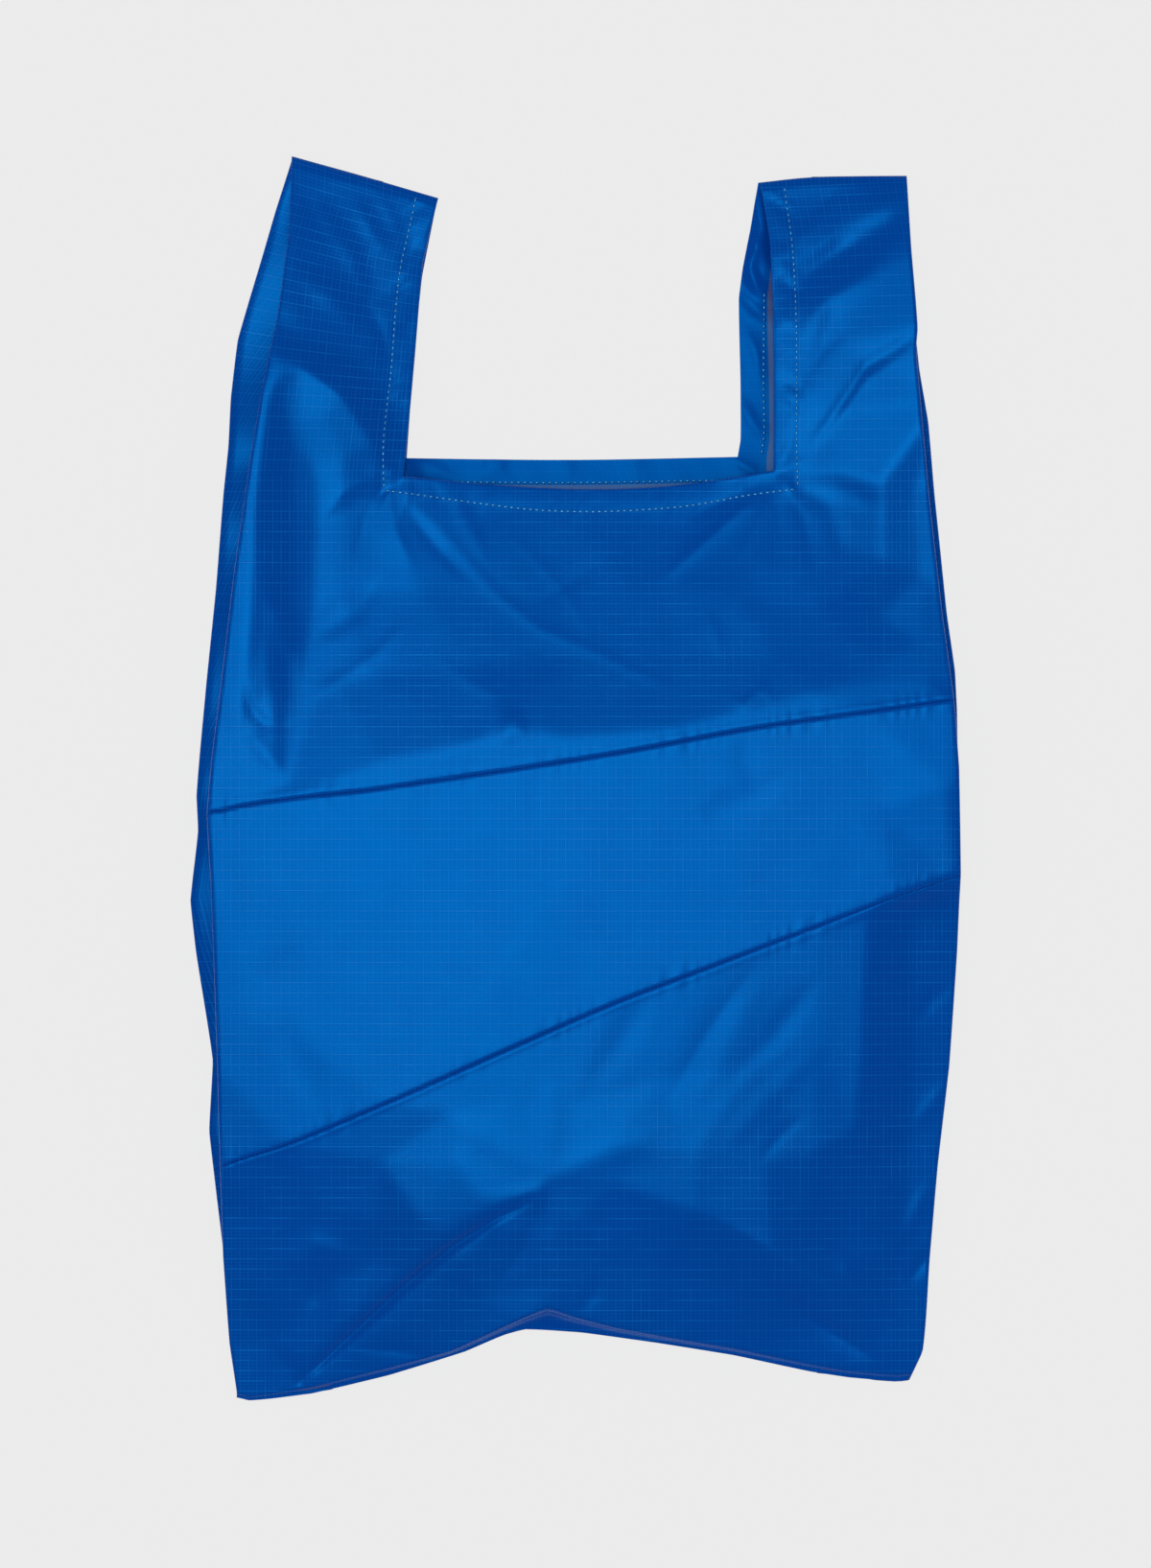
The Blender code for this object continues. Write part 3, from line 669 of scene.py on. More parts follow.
def loop_of_columns():
    def sheet(name, side_count, mouth_count):
        hem = [(name + "_hem", step) for step in reversed(HEM_STEPS)]
        side = [(name + "_side", step / side_count) for step in range(side_count)]
        left = [(part, LEFT, share) for part, share in side + hem]
        middle = [(name + "_mouth", 0, step / mouth_count) for step in range(1, mouth_count)]
        return left + middle + [(part, RIGHT, share) for part, share in reversed(side + hem)]

    def wall(side):
        arc = [step / ARC_STEPS for step in range(1, ARC_STEPS)]
        ply = [step / GUSSET_COLUMNS for step in range(GUSSET_COLUMNS + 1)]
        parts = (
            ("front_fold", arc),
            ("upper_ply", ply),
            ("pocket", arc),
            ("lower_ply", ply[::-1]),
            ("back_fold", arc),
        )
        return [(part, side, share) for part, shares in parts for share in shares]

    front = sheet("front", SIDE_COLUMNS, MOUTH_COLUMNS)
    back = sheet("back", BACK_SIDE_COLUMNS, BACK_MOUTH_COLUMNS)
    return front + wall(RIGHT) + back[::-1] + wall(LEFT)[::-1]


COLUMNS = loop_of_columns()
PART = np.array([column[0] for column in COLUMNS])
SIDE = np.array([column[1] for column in COLUMNS])
SHARE = np.array([column[2] for column in COLUMNS])
IS_FRONT = np.char.startswith(PART, "front_") & (PART != "front_fold")
IS_BACK = np.char.startswith(PART, "back_") & (PART != "back_fold")
IS_MOUTH = np.char.endswith(PART, "_mouth")
IS_WALL = ~(IS_FRONT | IS_BACK)


def by_side(lines, y):
    return np.where(SIDE < 0, lines[LEFT](y), lines[RIGHT](y))


def fold_size(y):
    """The radius of the side folds, which is small where the layers lie flat on each other."""
    return np.minimum(FOLD_RADIUS, CREASE_HEIGHT(y) / 4.5)


def columns_x(y):
    """Where each column is at its own y."""
    fold = fold_size(y)
    front_edge = by_side(FRONT_CREASE, y) - SIDE * fold
    back_edge = by_side(BACK_CREASE, y) - SIDE * fold
    pocket = (front_edge + back_edge) / 2 - SIDE * GUSSET_DEPTH
    x = np.zeros(len(COLUMNS))
    for edge, inner, name in ((front_edge, FRONT_INNER, "front"), (back_edge, BACK_INNER, "back")):
        hem_line = by_side(inner, y) + SIDE * HEM_STEPS[-1]
        side = PART == name + "_side"
        hem = PART == name + "_hem"
        mouth = PART == name + "_mouth"
        x = np.where(side, mix(edge, hem_line, SHARE), x)
        x = np.where(hem, by_side(inner, y) + SIDE * SHARE, x)
        x = np.where(mouth, mix(inner[LEFT](y), inner[RIGHT](y), SHARE), x)
    turn = np.sin(math.pi * SHARE)
    x = np.where(PART == "front_fold", front_edge + SIDE * fold * turn, x)
    x = np.where(PART == "back_fold", back_edge + SIDE * fold * turn, x)
    x = np.where(PART == "upper_ply", mix(front_edge, pocket, SHARE), x)
    x = np.where(PART == "lower_ply", mix(back_edge, pocket, SHARE), x)
    x = np.where(PART == "pocket", pocket - SIDE * POCKET_RADIUS * turn, x)
    return x


def columns_z(x, y):
    """The height of each column at its own y."""
    fold = fold_size(y)
    pocket = np.minimum(POCKET_RADIUS, CREASE_HEIGHT(y) / 8)
    turn = np.cos(math.pi * SHARE)
    front_edge = by_side(FRONT_CREASE, y) - SIDE * fold
    top = front_height(front_edge, y)
    middle = top / 2
    z = np.zeros(len(COLUMNS))
    z = np.where(IS_FRONT, front_height(x, y), z)
    z = np.where(IS_BACK, back_height(x, y), z)
    z = np.where(PART == "front_fold", top - fold + fold * turn, z)
    z = np.where(PART == "upper_ply", mix(top - 2 * fold, middle + pocket, SHARE), z)
    z = np.where(PART == "pocket", middle + pocket * turn, z)
    low = mix(2 * fold + BACK_LIFT, middle - pocket, SHARE)
    sway = np.sin(math.pi * SHARE) * np.sin(y * 0.11 + 1.2 * np.sin(y * 0.043) + SIDE)
    z = np.where(PART == "lower_ply", low + LOWER_PLY_SWAY * sway, z)
    z = np.where(PART == "back_fold", BACK_LIFT + fold + fold * turn, z)
    cover = front_height(x, y)
    pocket_cover = POCKET_COVER - (POCKET_COVER - PLY_COVER) * turn
    z = np.where(PART == "upper_ply", np.minimum(z, cover - PLY_COVER), z)
    z = np.where(PART == "pocket", np.minimum(z, cover - pocket_cover), z)
    return np.where(PART == "lower_ply", np.minimum(z, cover - LOWER_PLY_COVER), z)


def cloth_u(x, y):
    """How far round the cloth each column is, so that the weave follows the folds."""
    drift = by_side(FRONT_INNER, y) - by_side(FRONT_INNER, STRAP_FOOT)
    return x - np.where((SIDE != 0) & (y > STRAP_FOOT), drift, 0)


def cloth_v(x, y):
    """How far up the cloth each column is. On the straps the weave leans with the strap."""
    left = x < 0
    lean = np.where(left, STRAP_LEAN[LEFT], STRAP_LEAN[RIGHT]) * eased(STRAP_FOOT, STRAP_END, y)
    return y + lean * (x - np.where(left, STRAP_MIDDLE[LEFT], STRAP_MIDDLE[RIGHT]))


# Rows. A row gives y from x for each column.


def row_points(line):
    """x, y and z of each column where it meets a line across the bag."""
    y = np.zeros(len(COLUMNS))
    x = columns_x(y)
    for _ in range(ROW_ROUNDS):
        y = line(x)
        x = columns_x(y)
    return x, y, columns_z(x, y)


def between(low, high, share):
    return lambda x: mix(low(x), high(x), share)


def shifted(line, by):
    return lambda x: line(x) + by


def mouth_line(x):
    """The mouth's edge: lower on the front, higher on the back, and even between on the gussets."""
    front = FRONT_MOUTH(x)
    back = BACK_MOUTH(x)
    half = (front + back) / 2
    return np.where(IS_FRONT, front, np.where(IS_BACK, back, half))


def strap_line(share):
    return lambda x: mix(mouth_line(x), np.where(SIDE < 0, STRAP_TOP[LEFT](x), STRAP_TOP[RIGHT](x)), share)


def base_fold_line(x):
    return np.where(IS_FRONT, BASE_FOLD(x), BASE_SEAM(x) + BASE_FOLD_RISE)


def pinched(points, share):
    """Brings the layers together towards a sewn end. Share is 0 for the open row and 1 at the end."""
    x, y, z = points
    side = np.where(IS_FRONT | (PART == "front_fold"), 1, -1)
    side = np.where(IS_WALL & (PART != "front_fold") & (PART != "back_fold"), 0, side)
    return x, y, mix(z, PINCH_HEIGHT + PINCH_HALF_GAP * side, share)


def tucked(points):
    """The edge of a band at a seam, turned in towards the inside of the bag."""
    x, y, z = points
    inward = np.where(IS_FRONT | (PART == "front_fold") | (PART == "lower_ply"), -1.0, 1.0)
    return x, y, z + SEAM_TUCK * inward


def seam_rows(seam, side):
    """The rows of a band next to a seam. Side is 1 above the seam and -1 below it."""
    rows = [row_points(shifted(seam, side * distance)) for distance in SEAM_STEPS]
    rows.insert(0, tucked(row_points(seam)))
    return rows[::side]


def lower_rows(count):
    rows = []
    for share in BASE_STEPS:
        points = row_points(between(BASE_SEAM, base_fold_line, 1 - share))
        rows.append(pinched(points, eased(0, 1, share) ** BASE_DROP))
    top = shifted(LOWER_SEAM, -SEAM_STEPS[-1])
    for step in range(count):
        rows.append(row_points(between(base_fold_line, top, step / count)))
    return rows + seam_rows(LOWER_SEAM, -1)


def middle_rows(count):
    low = shifted(LOWER_SEAM, SEAM_STEPS[-1])
    high = shifted(UPPER_SEAM, -SEAM_STEPS[-1])
    rows = [row_points(between(low, high, step / count)) for step in range(1, count)]
    return seam_rows(LOWER_SEAM, 1) + rows + seam_rows(UPPER_SEAM, -1)


def upper_rows(body_count, strap_count):
    low = shifted(UPPER_SEAM, SEAM_STEPS[-1])
    hem = shifted(mouth_line, -HEM_STEPS[-1])
    rows = seam_rows(UPPER_SEAM, 1)
    rows += [row_points(between(low, hem, step / body_count)) for step in range(1, body_count)]
    rows += [row_points(shifted(mouth_line, -distance)) for distance in reversed(HEM_STEPS)]
    mouth_row = len(rows) - 1
    shares = [step / strap_count for step in range(1, strap_count)] + [0.995, 1.0]
    for share in shares:
        points = row_points(strap_line(share))
        rows.append(pinched(points, eased(STRAP_END_SHARE, 1.0, share)))
    return rows, mouth_row


# Meshes


def cloth_mesh(name, rows, mouth_row=None):
    """A grid of cloth laid along the rows, cut out at the mouth and joined into a tube."""
    count = len(COLUMNS)
    grid = bmesh.new()
    bmesh.ops.create_grid(grid, x_segments=count, y_segments=len(rows) - 1, size=1)
    data = bpy.data.meshes.new(name)
    grid.to_mesh(data)
    grid.free()
    flat = np.zeros(len(data.vertices) * 3, np.float32)
    data.vertices.foreach_get("co", flat)
    flat = flat.reshape(-1, 3)
    column = np.rint((flat[:, 0] + 1) / 2 * count).astype(int)
    row = np.rint((flat[:, 1] + 1) / 2 * (len(rows) - 1)).astype(int)
    table = np.array([np.stack(points, axis=-1) for points in rows])
    placed = table[row, column % count]
    data.vertices.foreach_set("co", (placed * MM).astype(np.float32).ravel())
    map_weave(data, rows, row, column)
    hem = hem_share(placed[:, 0], placed[:, 1], column % count)
    data.attributes.new("hem", "FLOAT", "POINT").data.foreach_set("value", hem.astype(np.float32))
    close_cloth(data, mouth_row)
    data.shade_smooth()
    return data


def map_weave(data, rows, row, column):
    """Gives the cloth its UV map, in metres of cloth round the bag and up it."""
    run = np.array([cloth_run(points) for points in rows])
    up = np.array([cloth_v(points[0], points[1]) for points in rows])
    place = np.stack([run[row, column], up[row, column % len(COLUMNS)]], axis=-1)
    corner = np.zeros(len(data.loops), np.int32)
    data.loops.foreach_get("vertex_index", corner)
    layer = data.uv_layers.new(name="cloth")
    layer.data.foreach_set("uv", (place[corner] * MM).astype(np.float32).ravel())


def close_cloth(data, mouth_row):
    """Cuts the mouth out of the grid, and joins its first column to its last."""
    count = len(COLUMNS)
    mesh = bmesh.new()
    mesh.from_mesh(data)
    if mouth_row is not None:
        at_mouth = IS_MOUTH | np.roll(IS_MOUTH, -1)
        numbered = enumerate(mesh.faces)
        removed = [
            face for index, face in numbered if index // count >= mouth_row and at_mouth[index % count]
        ]
        bmesh.ops.delete(mesh, geom=removed, context="FACES")
    bmesh.ops.remove_doubles(mesh, verts=mesh.verts, dist=1e-7)
    mesh.to_mesh(data)
    mesh.free()


def cloth_run(points):
    """How far round the cloth each column is, with the start again at the end, for the weave.

    The front's middle is 0, so that the weave on the front follows x.
    """
    x, y, z = points
    flat = cloth_u(x, y)
    closed_x, closed_z = np.append(x, x[0]), np.append(z, z[0])
    step = np.hypot(np.diff(closed_x), np.diff(closed_z))
    run = np.concatenate([[0], np.cumsum(step)])
    first_wall = int(np.argmax(IS_WALL))
    run[:first_wall] = flat[:first_wall]
    run[first_wall:] += flat[first_wall - 1] - run[first_wall - 1]
    return run


def hem_share(x, y, column):
    """1 in a hem, where the cloth is double, and 0 elsewhere."""
    wide = HEM_STEPS[-1] + HEM_MARGIN
    front = IS_FRONT[column] & (mouth_distance(x, y, FRONT_INNER, FRONT_MOUTH) < wide)
    back = IS_BACK[column] & (mouth_distance(x, y, BACK_INNER, BACK_MOUTH) < wide)
    return ((front | back) & (y > MOUTH_ZONE)).astype(float)


def cloth_piece(name, data, node, finish):
    piece = bpy.data.objects.new(name, data)
    bpy.context.scene.collection.objects.link(piece)
    for material in finish:
        data.materials.append(material)
    wall = piece.modifiers.new("Wall", "SOLIDIFY")
    wall.thickness = bpy.context.scene.bag_sizes.wall
    wall.offset = -1
    wall.material_offset = 1
    wall.material_offset_rim = 0
    wall.use_quality_normals = True
    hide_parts(node)
    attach(piece, "root")
    return piece


# Stitching


def run_of_points(line, pitch):
    """Points at even distances along a line of chosen points."""
    points = np.array(line, float)
    lengths = np.concatenate([[0], np.cumsum(np.hypot(*np.diff(points, axis=0).T))])
    places = np.arange(0, lengths[-1], pitch)
    x = smooth_line(*zip(lengths, points[:, 0]))(places)
    y = smooth_line(*zip(lengths, points[:, 1]))(places)
    return np.stack([x, y], axis=-1)


def add_stitch(mesh, start, end, thickness):
    """One stitch: a small rounded grain of thread from start to end, pressed flat on the cloth."""
    made = bmesh.ops.create_uvsphere(mesh, u_segments=6, v_segments=5, radius=0.5)
    run = end - start
    turn = run.to_track_quat("Z", "Y").to_matrix()
    middle = (start + end) / 2
    for vertex in made["verts"]:
        out = max(0.001, 2 * math.hypot(vertex.co.x, vertex.co.y))
        across = thickness * out**-STITCH_BLUNTNESS
        flat = across * STITCH_FLATNESS
        point = Vector((vertex.co.x * across, vertex.co.y * flat, vertex.co.z * run.length))
        vertex.co = turn @ point + middle


def stitching_piece(name, lines, height, pitch, length, thickness, material, lift=HEM_STITCH_LIFT):
    """Stitches along lines, lying on the cloth."""
    mesh = bmesh.new()
    for line in lines:
        points = run_of_points(line, pitch)
        ends = points[1:] * (length / pitch) + points[:-1] * (1 - length / pitch)
        starts = points[:-1]
        low = height(starts[:, 0], starts[:, 1])
        high = height(ends[:, 0], ends[:, 1])
        for start, end, z0, z1 in zip(starts, ends, low, high):
            first = Vector((start[0], start[1], z0 + lift)) * MM
            last = Vector((end[0], end[1], z1 + lift)) * MM
            add_stitch(mesh, first, last, thickness)
    data = bpy.data.meshes.new(name)
    mesh.to_mesh(data)
    mesh.free()
    data.shade_smooth()
    data.materials.append(material)
    piece = bpy.data.objects.new(name, data)
    bpy.context.scene.collection.objects.link(piece)
    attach(piece, "root")
    return piece


MOUTH_STITCHES = (
    (-93.3, 142), (-75, 139.5), (-47, 135.6), (-18, 132.3), (5, 131.5), (30, 132.2), (58, 134.6),
    (86, 139.6), (110.6, 142.8),
)
LEFT_STRAP_STITCHES = (
    (-78.4, 287), (-82, 270), (-86, 252), (-88, 235), (-90.2, 205), (-94.4, 162), (-94, 141),
)
RIGHT_STRAP_STITCHES = ((104, 292), (107.6, 266), (109.4, 238), (110, 205), (110, 160), (110.6, 142))
BACK_MOUTH_STITCHES = ((-72, 146.6), (-40, 146.2), (0, 146), (40, 146.6), (80, 147.3))
BACK_STRAP_STITCHES = ((94.2, 240), (93.8, 195), (93.8, 167), (92.6, 158))
# for each seam, its line and the x where the stitches begin and end
SEAM_STITCHES = ((UPPER_SEAM, -178, 185), (LOWER_SEAM, -172, 188))
BACK_INSIDE = 0.8


def back_inside(x, y):
    """The upper side of the back, where its hem is sewn."""
    return back_height(x, y) + BACK_INSIDE


# Materials


class Value:
    """A socket in a shader. Adding or multiplying it adds Math nodes."""

    def __init__(self, shader, socket):
        self.shader = shader
        self.socket = socket

    def math(self, operation, *others):
        return self.shader.node("ShaderNodeMath", {"operation": operation}, [self, *others])

    def __add__(self, other):
        return self.math("ADD", other)

    __radd__ = __add__

    def __mul__(self, other):
        return self.math("MULTIPLY", other)

    __rmul__ = __mul__


class Shader:
    """The nodes of one material."""

    def __init__(self, name):
        self.material = bpy.data.materials.new(name)
        self.material.use_nodes = True
        self.tree = self.material.node_tree
        self.tree.nodes.clear()

    def node(self, kind, settings=None, inputs=None, output=0):
        """Adds a node: its settings first, then the values or links of its sockets."""
        made = self.tree.nodes.new(kind)
        for key, value in (settings or {}).items():
            setattr(made, key, value)
        pairs = inputs.items() if isinstance(inputs, dict) else enumerate(inputs or [])
        for key, value in pairs:
            if isinstance(value, Value):
                self.tree.links.new(value.socket, made.inputs[key])
            else:
                made.inputs[key].default_value = value
        return Value(self, made.outputs[output])

    def range(self, value, low, high, start=0.0, end=1.0, kind="LINEAR"):
        """Value as it goes from low to high, turned to what goes from start to end."""
        ends = {"Value": value, "From Min": low, "From Max": high, "To Min": start, "To Max": end}
        return self.node("ShaderNodeMapRange", {"interpolation_type": kind}, ends)

    def line(self, place, pitch, width):
        """1 on thin lines at every pitch, and 0 between them."""
        away = place.math("PINGPONG", pitch / 2)
        return self.range(away, width * 0.35, width, 1.0, 0.0, "SMOOTHSTEP")

    def noise(self, place, scale, detail=2.0, stretch=(1, 1, 1)):
        scaled = self.node("ShaderNodeMapping", None, {"Vector": place, "Scale": stretch})
        return self.node("ShaderNodeTexNoise", None, {"Vector": scaled, "Scale": scale, "Detail": detail})

    def colour(self, share, first, second):
        return self.node("ShaderNodeMix", {"data_type": "RGBA"}, {0: share, 6: first, 7: second}, output=2)

    def bump(self, height, strength):
        return self.node("ShaderNodeBump", None, {"Height": height, "Strength": strength, "Distance": 1.0})

    def surface(self, inputs):
        self.output(self.node("ShaderNodeBsdfPrincipled", None, inputs))

    def output(self, shown):
        end = self.tree.nodes.new("ShaderNodeOutputMaterial")
        self.tree.links.new(shown.socket, end.inputs["Surface"])


def with_alpha(colour):
    return (colour[0], colour[1], colour[2], 1.0)


def brightened(colour, by):
    return with_alpha([min(1.0, part * by) for part in colour])


def ripstop(shader, place):
    """The raised yarns of the ripstop grid: 1 on a yarn, and broken up as on real cloth. The materials
    paint these yarns lighter, as a painted glint.
    """
    sizes = bpy.context.scene.bag_sizes
    u = shader.node("ShaderNodeSeparateXYZ", None, [place])
    v = Value(shader, u.socket.node.outputs["Y"])
    rows = shader.line(v, sizes.row_pitch, ROW_YARN)
    columns = shader.line(u, sizes.column_pitch, COLUMN_YARN)
    fine_rows = shader.line(v, sizes.row_pitch / 3, FINE_YARN)
    fine_columns = shader.line(u, sizes.column_pitch / 2, FINE_YARN)
    along_rows = shader.range(shader.noise(place, 1, 3.0, (60, 900, 1)), 0.35, 0.65, 0.3, 1.0)
    along_columns = shader.range(shader.noise(place, 1, 3.0, (900, 60, 1)), 0.35, 0.65, 0.2, 1.0)
    patches = shader.range(shader.noise(place, 14, 2.0), 0.35, 0.65, 0.45, 1.0)
    main = (rows * along_rows).math("MAXIMUM", columns * along_columns * 0.8)
    fine = (fine_rows * 0.3).math("MAXIMUM", fine_columns * 0.45)
    return main.math("MAXIMUM", fine) * patches


def cloth_outside():
    """The blue outside of the cloth, with the raised yarns of the ripstop grid, whose lighter blue is
    painted glint.
    """
    finish = bpy.context.scene.bag_finish
    shader = Shader("blue_ripstop")
    place = shader.node("ShaderNodeUVMap", {"uv_map": "cloth"})
    # The yarn mask gives real relief and gloss, and its lighter colour is painted glint of the raised
    # yarns
    yarn_and_glint = ripstop(shader, place)
    shade = shader.range(shader.noise(place, 9, 3.0), 0.3, 0.7, 0.0, 1.0)
    ground = shader.colour(shade, brightened(finish.cloth, 0.95), brightened(finish.cloth, 1.04))
    smooth, dull = finish.roughness - 0.006, finish.roughness + 0.006
    crinkle = shader.noise(place, 150, 4.0)
    shader.surface(
        {
            "Base Color": shader.colour(yarn_and_glint, ground, with_alpha(finish.yarn_and_glint)),
            "Roughness": shader.range(shader.noise(place, 60, 3.0), 0.3, 0.7, smooth, dull),
            "Specular IOR Level": 1.0,
            "Specular Tint": BLUE_SHINE,
            "Coat Weight": yarn_and_glint * 0.09,
            "Coat Roughness": 0.3,
            "Normal": shader.bump(yarn_and_glint * YARN_RELIEF + crinkle * CRINKLE_RELIEF, 0.55),
        }
    )
    return shader.material


def cloth_inside():
    """The coated inside, and the blue outside of the cloth where a hem is turned over."""
    finish = bpy.context.scene.bag_finish
    shader = Shader("coated_inside")
    place = shader.node("ShaderNodeUVMap", {"uv_map": "cloth"})
    hem = shader.node("ShaderNodeAttribute", {"attribute_name": "hem"}, output=2)
    yarn_and_glint = ripstop(shader, place)
    turned = shader.range(hem, 0.45, 0.55)
    # Lighter yarns, on the turned hem and on the coating, are painted glint
    blue = shader.colour(yarn_and_glint * 0.5, with_alpha(finish.cloth), with_alpha(finish.yarn_and_glint))
    grey = shader.colour(yarn_and_glint * 0.4, with_alpha(finish.inside), brightened(finish.inside, 1.25))
    shader.surface(
        {
            "Base Color": shader.colour(turned, grey, blue),
            "Roughness": 0.34,
            "Specular IOR Level": 0.9,
            "Specular Tint": BLUE_SHINE,
            "Normal": shader.bump(shader.noise(place, 110, 4.0) * COATING_RELIEF, 0.5),
        }
    )
    return shader.material


def thread(name, colour, shine):
    """Sewing thread: shine is its share of coloured shine."""
    shader = Shader(name)
    place = shader.node("ShaderNodeTexCoord", None, None, output=3)
    spun = shader.range(shader.noise(place, 1800, 2.0), 0.3, 0.7)
    shade = shader.colour(spun, brightened(colour, 0.8), brightened(colour, 1.15))
    shader.surface(
        {
            "Base Color": shade,
            "Metallic": shine,
            "Roughness": 0.3,
            "Specular IOR Level": 0.1,
            "Specular Tint": with_alpha(colour),
        }
    )
    return shader.material


def floor_finish():
    """A pale floor that shows as the photograph's plain ground and keeps a faint shadow."""
    finish = bpy.context.scene.bag_finish
    shader = Shader("pale_floor")
    place = shader.node("ShaderNodeTexCoord", None, None, output=3)
    grain = shader.range(shader.noise(place, 40, 3.0), 0.3, 0.7)
    pale = shader.colour(grain, brightened(finish.floor, 0.995), brightened(finish.floor, 1.005))
    plain = {"Base Color": pale, "Roughness": 0.9, "Specular IOR Level": 0.0}
    matt = shader.node("ShaderNodeBsdfPrincipled", None, plain)
    bright = {"Color": with_alpha(finish.floor), "Strength": FLOOR_GLOW}
    glow = shader.node("ShaderNodeEmission", None, bright)
    path = shader.tree.nodes.new("ShaderNodeLightPath")
    rays = [Value(shader, path.outputs[f"Is {kind} Ray"]) for kind in ("Camera", "Glossy", "Transmission")]
    seen = rays[0].math("MAXIMUM", rays[1].math("MAXIMUM", rays[2]))
    shown = shader.node("ShaderNodeMixShader", None, {0: seen * FLOOR_GLOW_SHARE, 1: matt, 2: glow})
    shader.output(shown)
    return shader.material


# Settings


def metres(name, description, default):
    return bpy.props.FloatProperty(
        name=name, description=description, default=default, unit="LENGTH", precision=4, min=0.00001
    )


def share(name, description, default):
    return bpy.props.FloatProperty(
        name=name, description=description, default=default, subtype="FACTOR", min=0, max=1
    )


def colour(name, description, default):
    return bpy.props.FloatVectorProperty(
        name=name, description=description, default=default, subtype="COLOR", size=3, min=0, max=1
    )


class BagSizes(bpy.types.PropertyGroup):
    """Sizes of the cloth and its sewing."""

    wall: metres("Wall", "Thickness of the cloth", 0.00025)
    row_pitch: metres("Row pitch", "Distance between the raised yarns that run across", 0.00506)
    column_pitch: metres("Column pitch", "Distance between the raised yarns that run up", 0.00413)
    stitch_pitch: metres("Stitch pitch", "Distance from one stitch to the next", 0.0031)
    stitch_length: metres("Stitch length", "Length of the thread that shows in one stitch", 0.0021)
    thread: metres("Thread", "Thickness of the sewing thread", 0.0013)


class BagFinish(bpy.types.PropertyGroup):
    """Colours and finish of the bag and the stage."""

    cloth: colour("Cloth", "Outside of the cloth", (0.0006, 0.084, 0.58))
    # Yarn colour: the real ripstop grid, painted lighter blue as the glint of its raised yarns
    yarn_and_glint: colour("Yarn", "Raised yarns of the ripstop grid", (0.004, 0.2, 0.85))
    inside: colour("Inside", "Coated inside of the cloth", (0.13, 0.14, 0.36))
    stitch: colour("Stitch", "Thread of the hems", (0.07, 0.4, 1.0))
    # Seam thread colour: real thread, its near-black blue painted shade of the stitch holes in the seam's
    # groove
    seam: colour("Seam", "Thread of the seams between the bands", (0.001, 0.03, 0.16))
    floor: colour("Floor", "Floor and backdrop", (0.839, 0.839, 0.839))
    stitch_shine: share("Stitch shine", "Share of coloured shine on the thread of the hems", 1.0)
    roughness: share("Roughness", "Roughness of the outside of the cloth", 0.28)


# Operators


def finishes():
    """The outside and the inside of the cloth, made once."""
    made = bpy.data.materials.get("blue_ripstop") or cloth_outside()
    inside = bpy.data.materials.get("coated_inside") or cloth_inside()
    return made, inside


class BAG_OT_lower_band(bpy.types.Operator):
    """Make the lowest band, with the folded base"""

    bl_idname = "bag.lower_band"
    bl_label = "Lower band"

    def execute(self, context):
        data = cloth_mesh("lower_band_cloth", lower_rows(LOWER_ROWS))
        piece = cloth_piece("lower_band_cloth", data, "lower_band", finishes())
        return {"FINISHED"}


class BAG_OT_middle_band(bpy.types.Operator):
    """Make the middle band"""

    bl_idname = "bag.middle_band"
    bl_label = "Middle band"

    def execute(self, context):
        data = cloth_mesh("middle_band_cloth", middle_rows(MIDDLE_ROWS))
        piece = cloth_piece("middle_band_cloth", data, "middle_band", finishes())
        return {"FINISHED"}


class BAG_OT_upper_band(bpy.types.Operator):
    """Make the highest band, with the hemmed mouth and the two straps"""

    bl_idname = "bag.upper_band"
    bl_label = "Upper band"

    def execute(self, context):
        rows, mouth_row = upper_rows(UPPER_ROWS, STRAP_ROWS)
        data = cloth_mesh("upper_band_cloth", rows, mouth_row)
        piece = cloth_piece("upper_band_cloth", data, "upper_band", finishes())
        return {"FINISHED"}


class BAG_OT_hem_stitches(bpy.types.Operator):
    """Make the light stitching of the hems"""

    bl_idname = "bag.hem_stitches"
    bl_label = "Hem stitches"

    def execute(self, context):
        sizes, finish = context.scene.bag_sizes, context.scene.bag_finish
        material = thread("light_thread", finish.stitch, finish.stitch_shine)
        pitch, length = sizes.stitch_pitch / MM, sizes.stitch_length / MM
        front = (MOUTH_STITCHES, LEFT_STRAP_STITCHES, RIGHT_STRAP_STITCHES)
        back = (BACK_MOUTH_STITCHES, BACK_STRAP_STITCHES)
        for name, lines, height in (
            ("front_hem_stitches", front, front_height),
            ("back_hem_stitches", back, back_inside),
        ):
            piece = stitching_piece(name, lines, height, pitch, length, sizes.thread, material)
        return {"FINISHED"}


class BAG_OT_seam_stitches(bpy.types.Operator):
    """Make the stitching in the two seams between the bands: real thread, coloured dark as painted shade
    of the stitch holes
    """

    bl_idname = "bag.seam_stitches"
    bl_label = "Seam stitches"

    def execute(self, context):
        sizes = context.scene.bag_sizes
        # Real seam thread, coloured near-black as painted shade of the stitch holes in the groove
        material = thread("seam_shadow_thread", context.scene.bag_finish.seam, 0.0)
        lines = []
        for seam, start, end in SEAM_STITCHES:
            x = np.linspace(start, end, 16)
            lines.append(list(zip(x, seam(x))))
        pitch, length = SEAM_STITCH_PITCH, SEAM_STITCH_LENGTH
        thickness = sizes.thread * SEAM_THREAD_SHARE
        piece = stitching_piece(
            "seam_stitches", lines, front_height, pitch, length, thickness, material, SEAM_STITCH_LIFT
        )
        return {"FINISHED"}


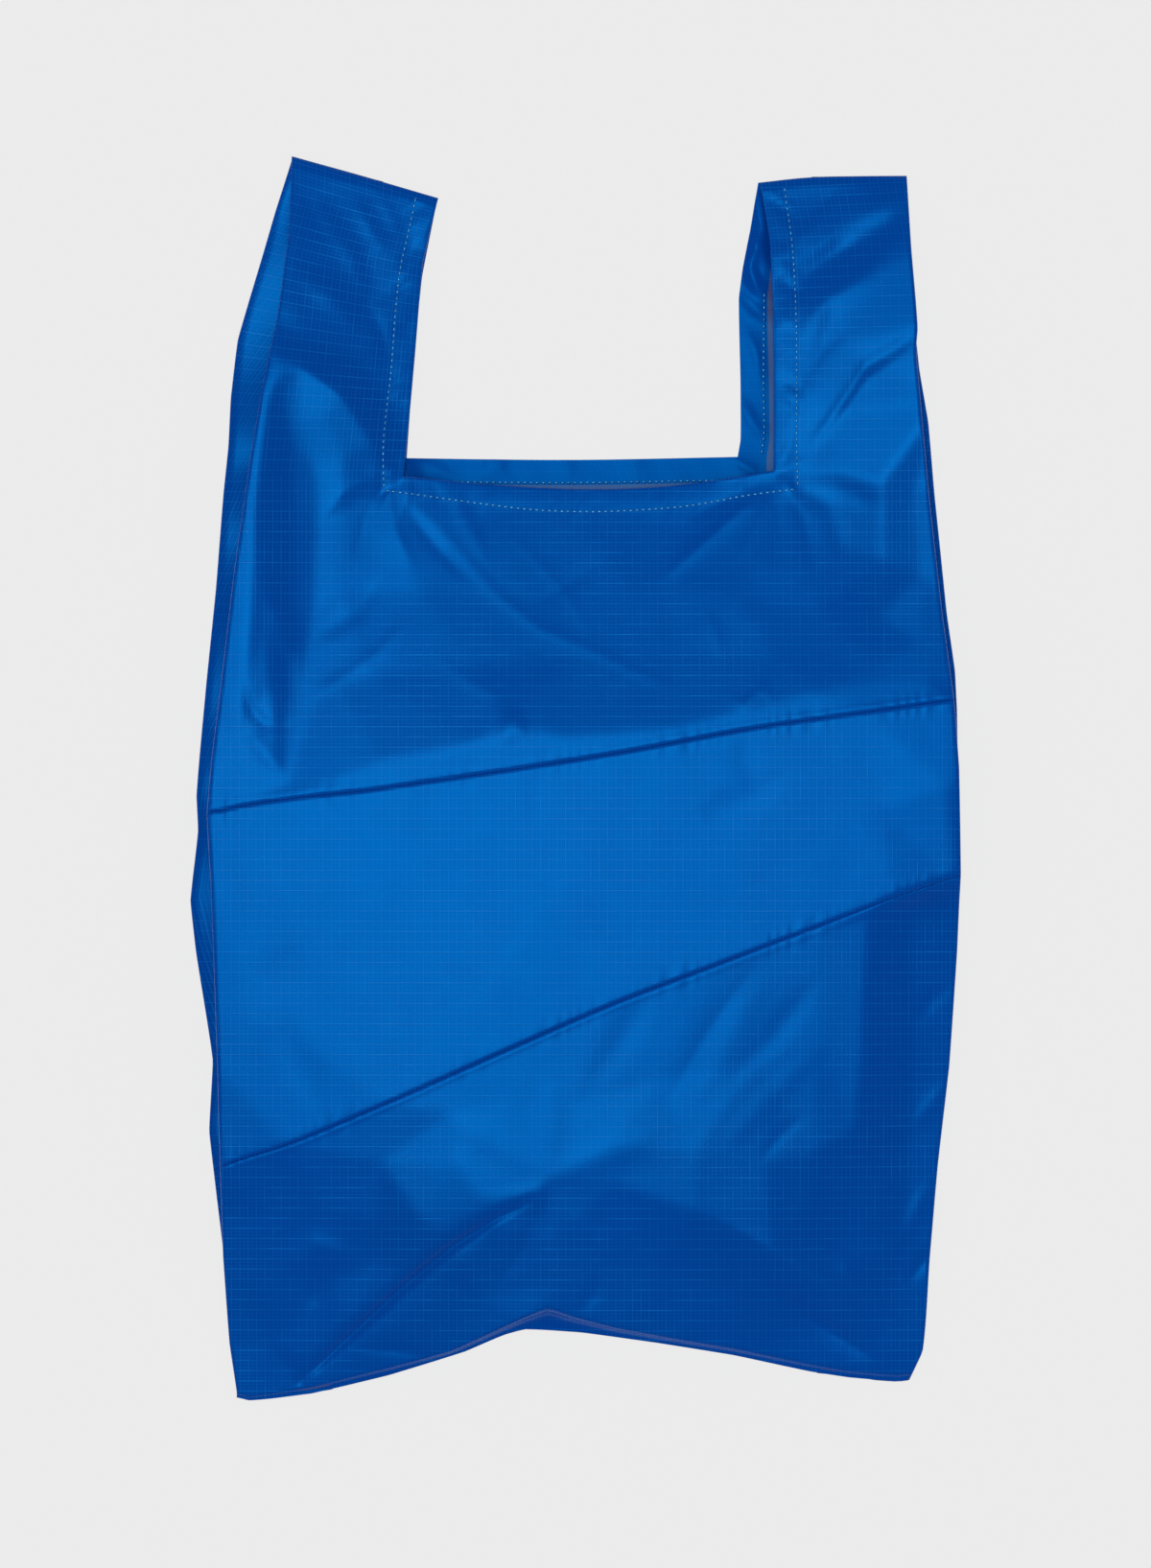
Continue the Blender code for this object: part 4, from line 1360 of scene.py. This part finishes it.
class BAG_OT_stage(bpy.types.Operator):
    """Make the floor, the lamp, the world and the camera"""

    bl_idname = "bag.stage"
    bl_label = "Stage"

    def execute(self, context):
        self.floor(context)
        self.light(context)
        self.camera(context)
        context.scene.view_settings.view_transform = "Standard"
        return {"FINISHED"}

    def floor(self, context):
        mesh = bmesh.new()
        bmesh.ops.create_grid(mesh, x_segments=4, y_segments=4, size=FLOOR_REACH)
        data = bpy.data.meshes.new("floor")
        mesh.to_mesh(data)
        mesh.free()
        data.materials.append(floor_finish())
        floor = bpy.data.objects.new("floor", data)
        context.scene.collection.objects.link(floor)

    def light(self, context):
        lamp = bpy.data.lights.new("overhead_softbox", "AREA")
        lamp.shape = "SQUARE"
        lamp.size = LAMP_SIZE
        lamp.energy = LAMP_POWER
        light = bpy.data.objects.new("overhead_softbox", lamp)
        light.location = LAMP_PLACE
        aim = -Vector(LAMP_PLACE)
        light.rotation_euler = aim.to_track_quat("-Z", "Y").to_euler()
        light.visible_camera = False
        context.scene.collection.objects.link(light)
        world = bpy.data.worlds.new("studio")
        world.use_nodes = True
        background = world.node_tree.nodes["Background"]
        background.inputs["Color"].default_value = (1, 1, 1, 1)
        background.inputs["Strength"].default_value = WORLD_STRENGTH
        context.scene.world = world

    def camera(self, context):
        camera = bpy.data.cameras.new("camera")
        camera.sensor_width = SENSOR
        height = PICTURE_HEIGHT_PX * MM_PER_PX * MM
        camera.lens = SENSOR * CAMERA_DISTANCE / height
        camera.clip_end = 20
        eye = bpy.data.objects.new("camera", camera)
        eye.location = (PICTURE_CENTRE[0] * MM, PICTURE_CENTRE[1] * MM, CAMERA_DISTANCE)
        context.scene.collection.objects.link(eye)
        context.scene.camera = eye


class BAG_PT_panel(bpy.types.Panel):
    """The bag's sizes, colours and pieces"""

    bl_label = "Nylon Shopping Bag"
    bl_space_type = "VIEW_3D"
    bl_region_type = "UI"
    bl_category = "Bag"

    def draw(self, context):
        layout = self.layout
        for group in (context.scene.bag_sizes, context.scene.bag_finish):
            for name in group.bl_rna.properties.keys():
                if name not in ("rna_type", "name"):
                    layout.prop(group, name)
        for operator in OPERATORS:
            layout.operator(operator.bl_idname)


GROUPS = (BagSizes, BagFinish)
OPERATORS = (
    BAG_OT_lower_band,
    BAG_OT_middle_band,
    BAG_OT_upper_band,
    BAG_OT_hem_stitches,
    BAG_OT_seam_stitches,
    BAG_OT_stage,
)


def register():
    for group in (*GROUPS, *OPERATORS, BAG_PT_panel):
        bpy.utils.register_class(group)
    bpy.types.Scene.bag_sizes = bpy.props.PointerProperty(type=BagSizes)
    bpy.types.Scene.bag_finish = bpy.props.PointerProperty(type=BagFinish)


def unregister():
    del bpy.types.Scene.bag_sizes
    del bpy.types.Scene.bag_finish
    for group in reversed((*GROUPS, *OPERATORS, BAG_PT_panel)):
        bpy.utils.unregister_class(group)


def main():
    register()
    for operator in OPERATORS:
        family, name = operator.bl_idname.split(".")
        getattr(getattr(bpy.ops, family), name)()
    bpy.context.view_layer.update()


if __name__ == "__main__":
    main()
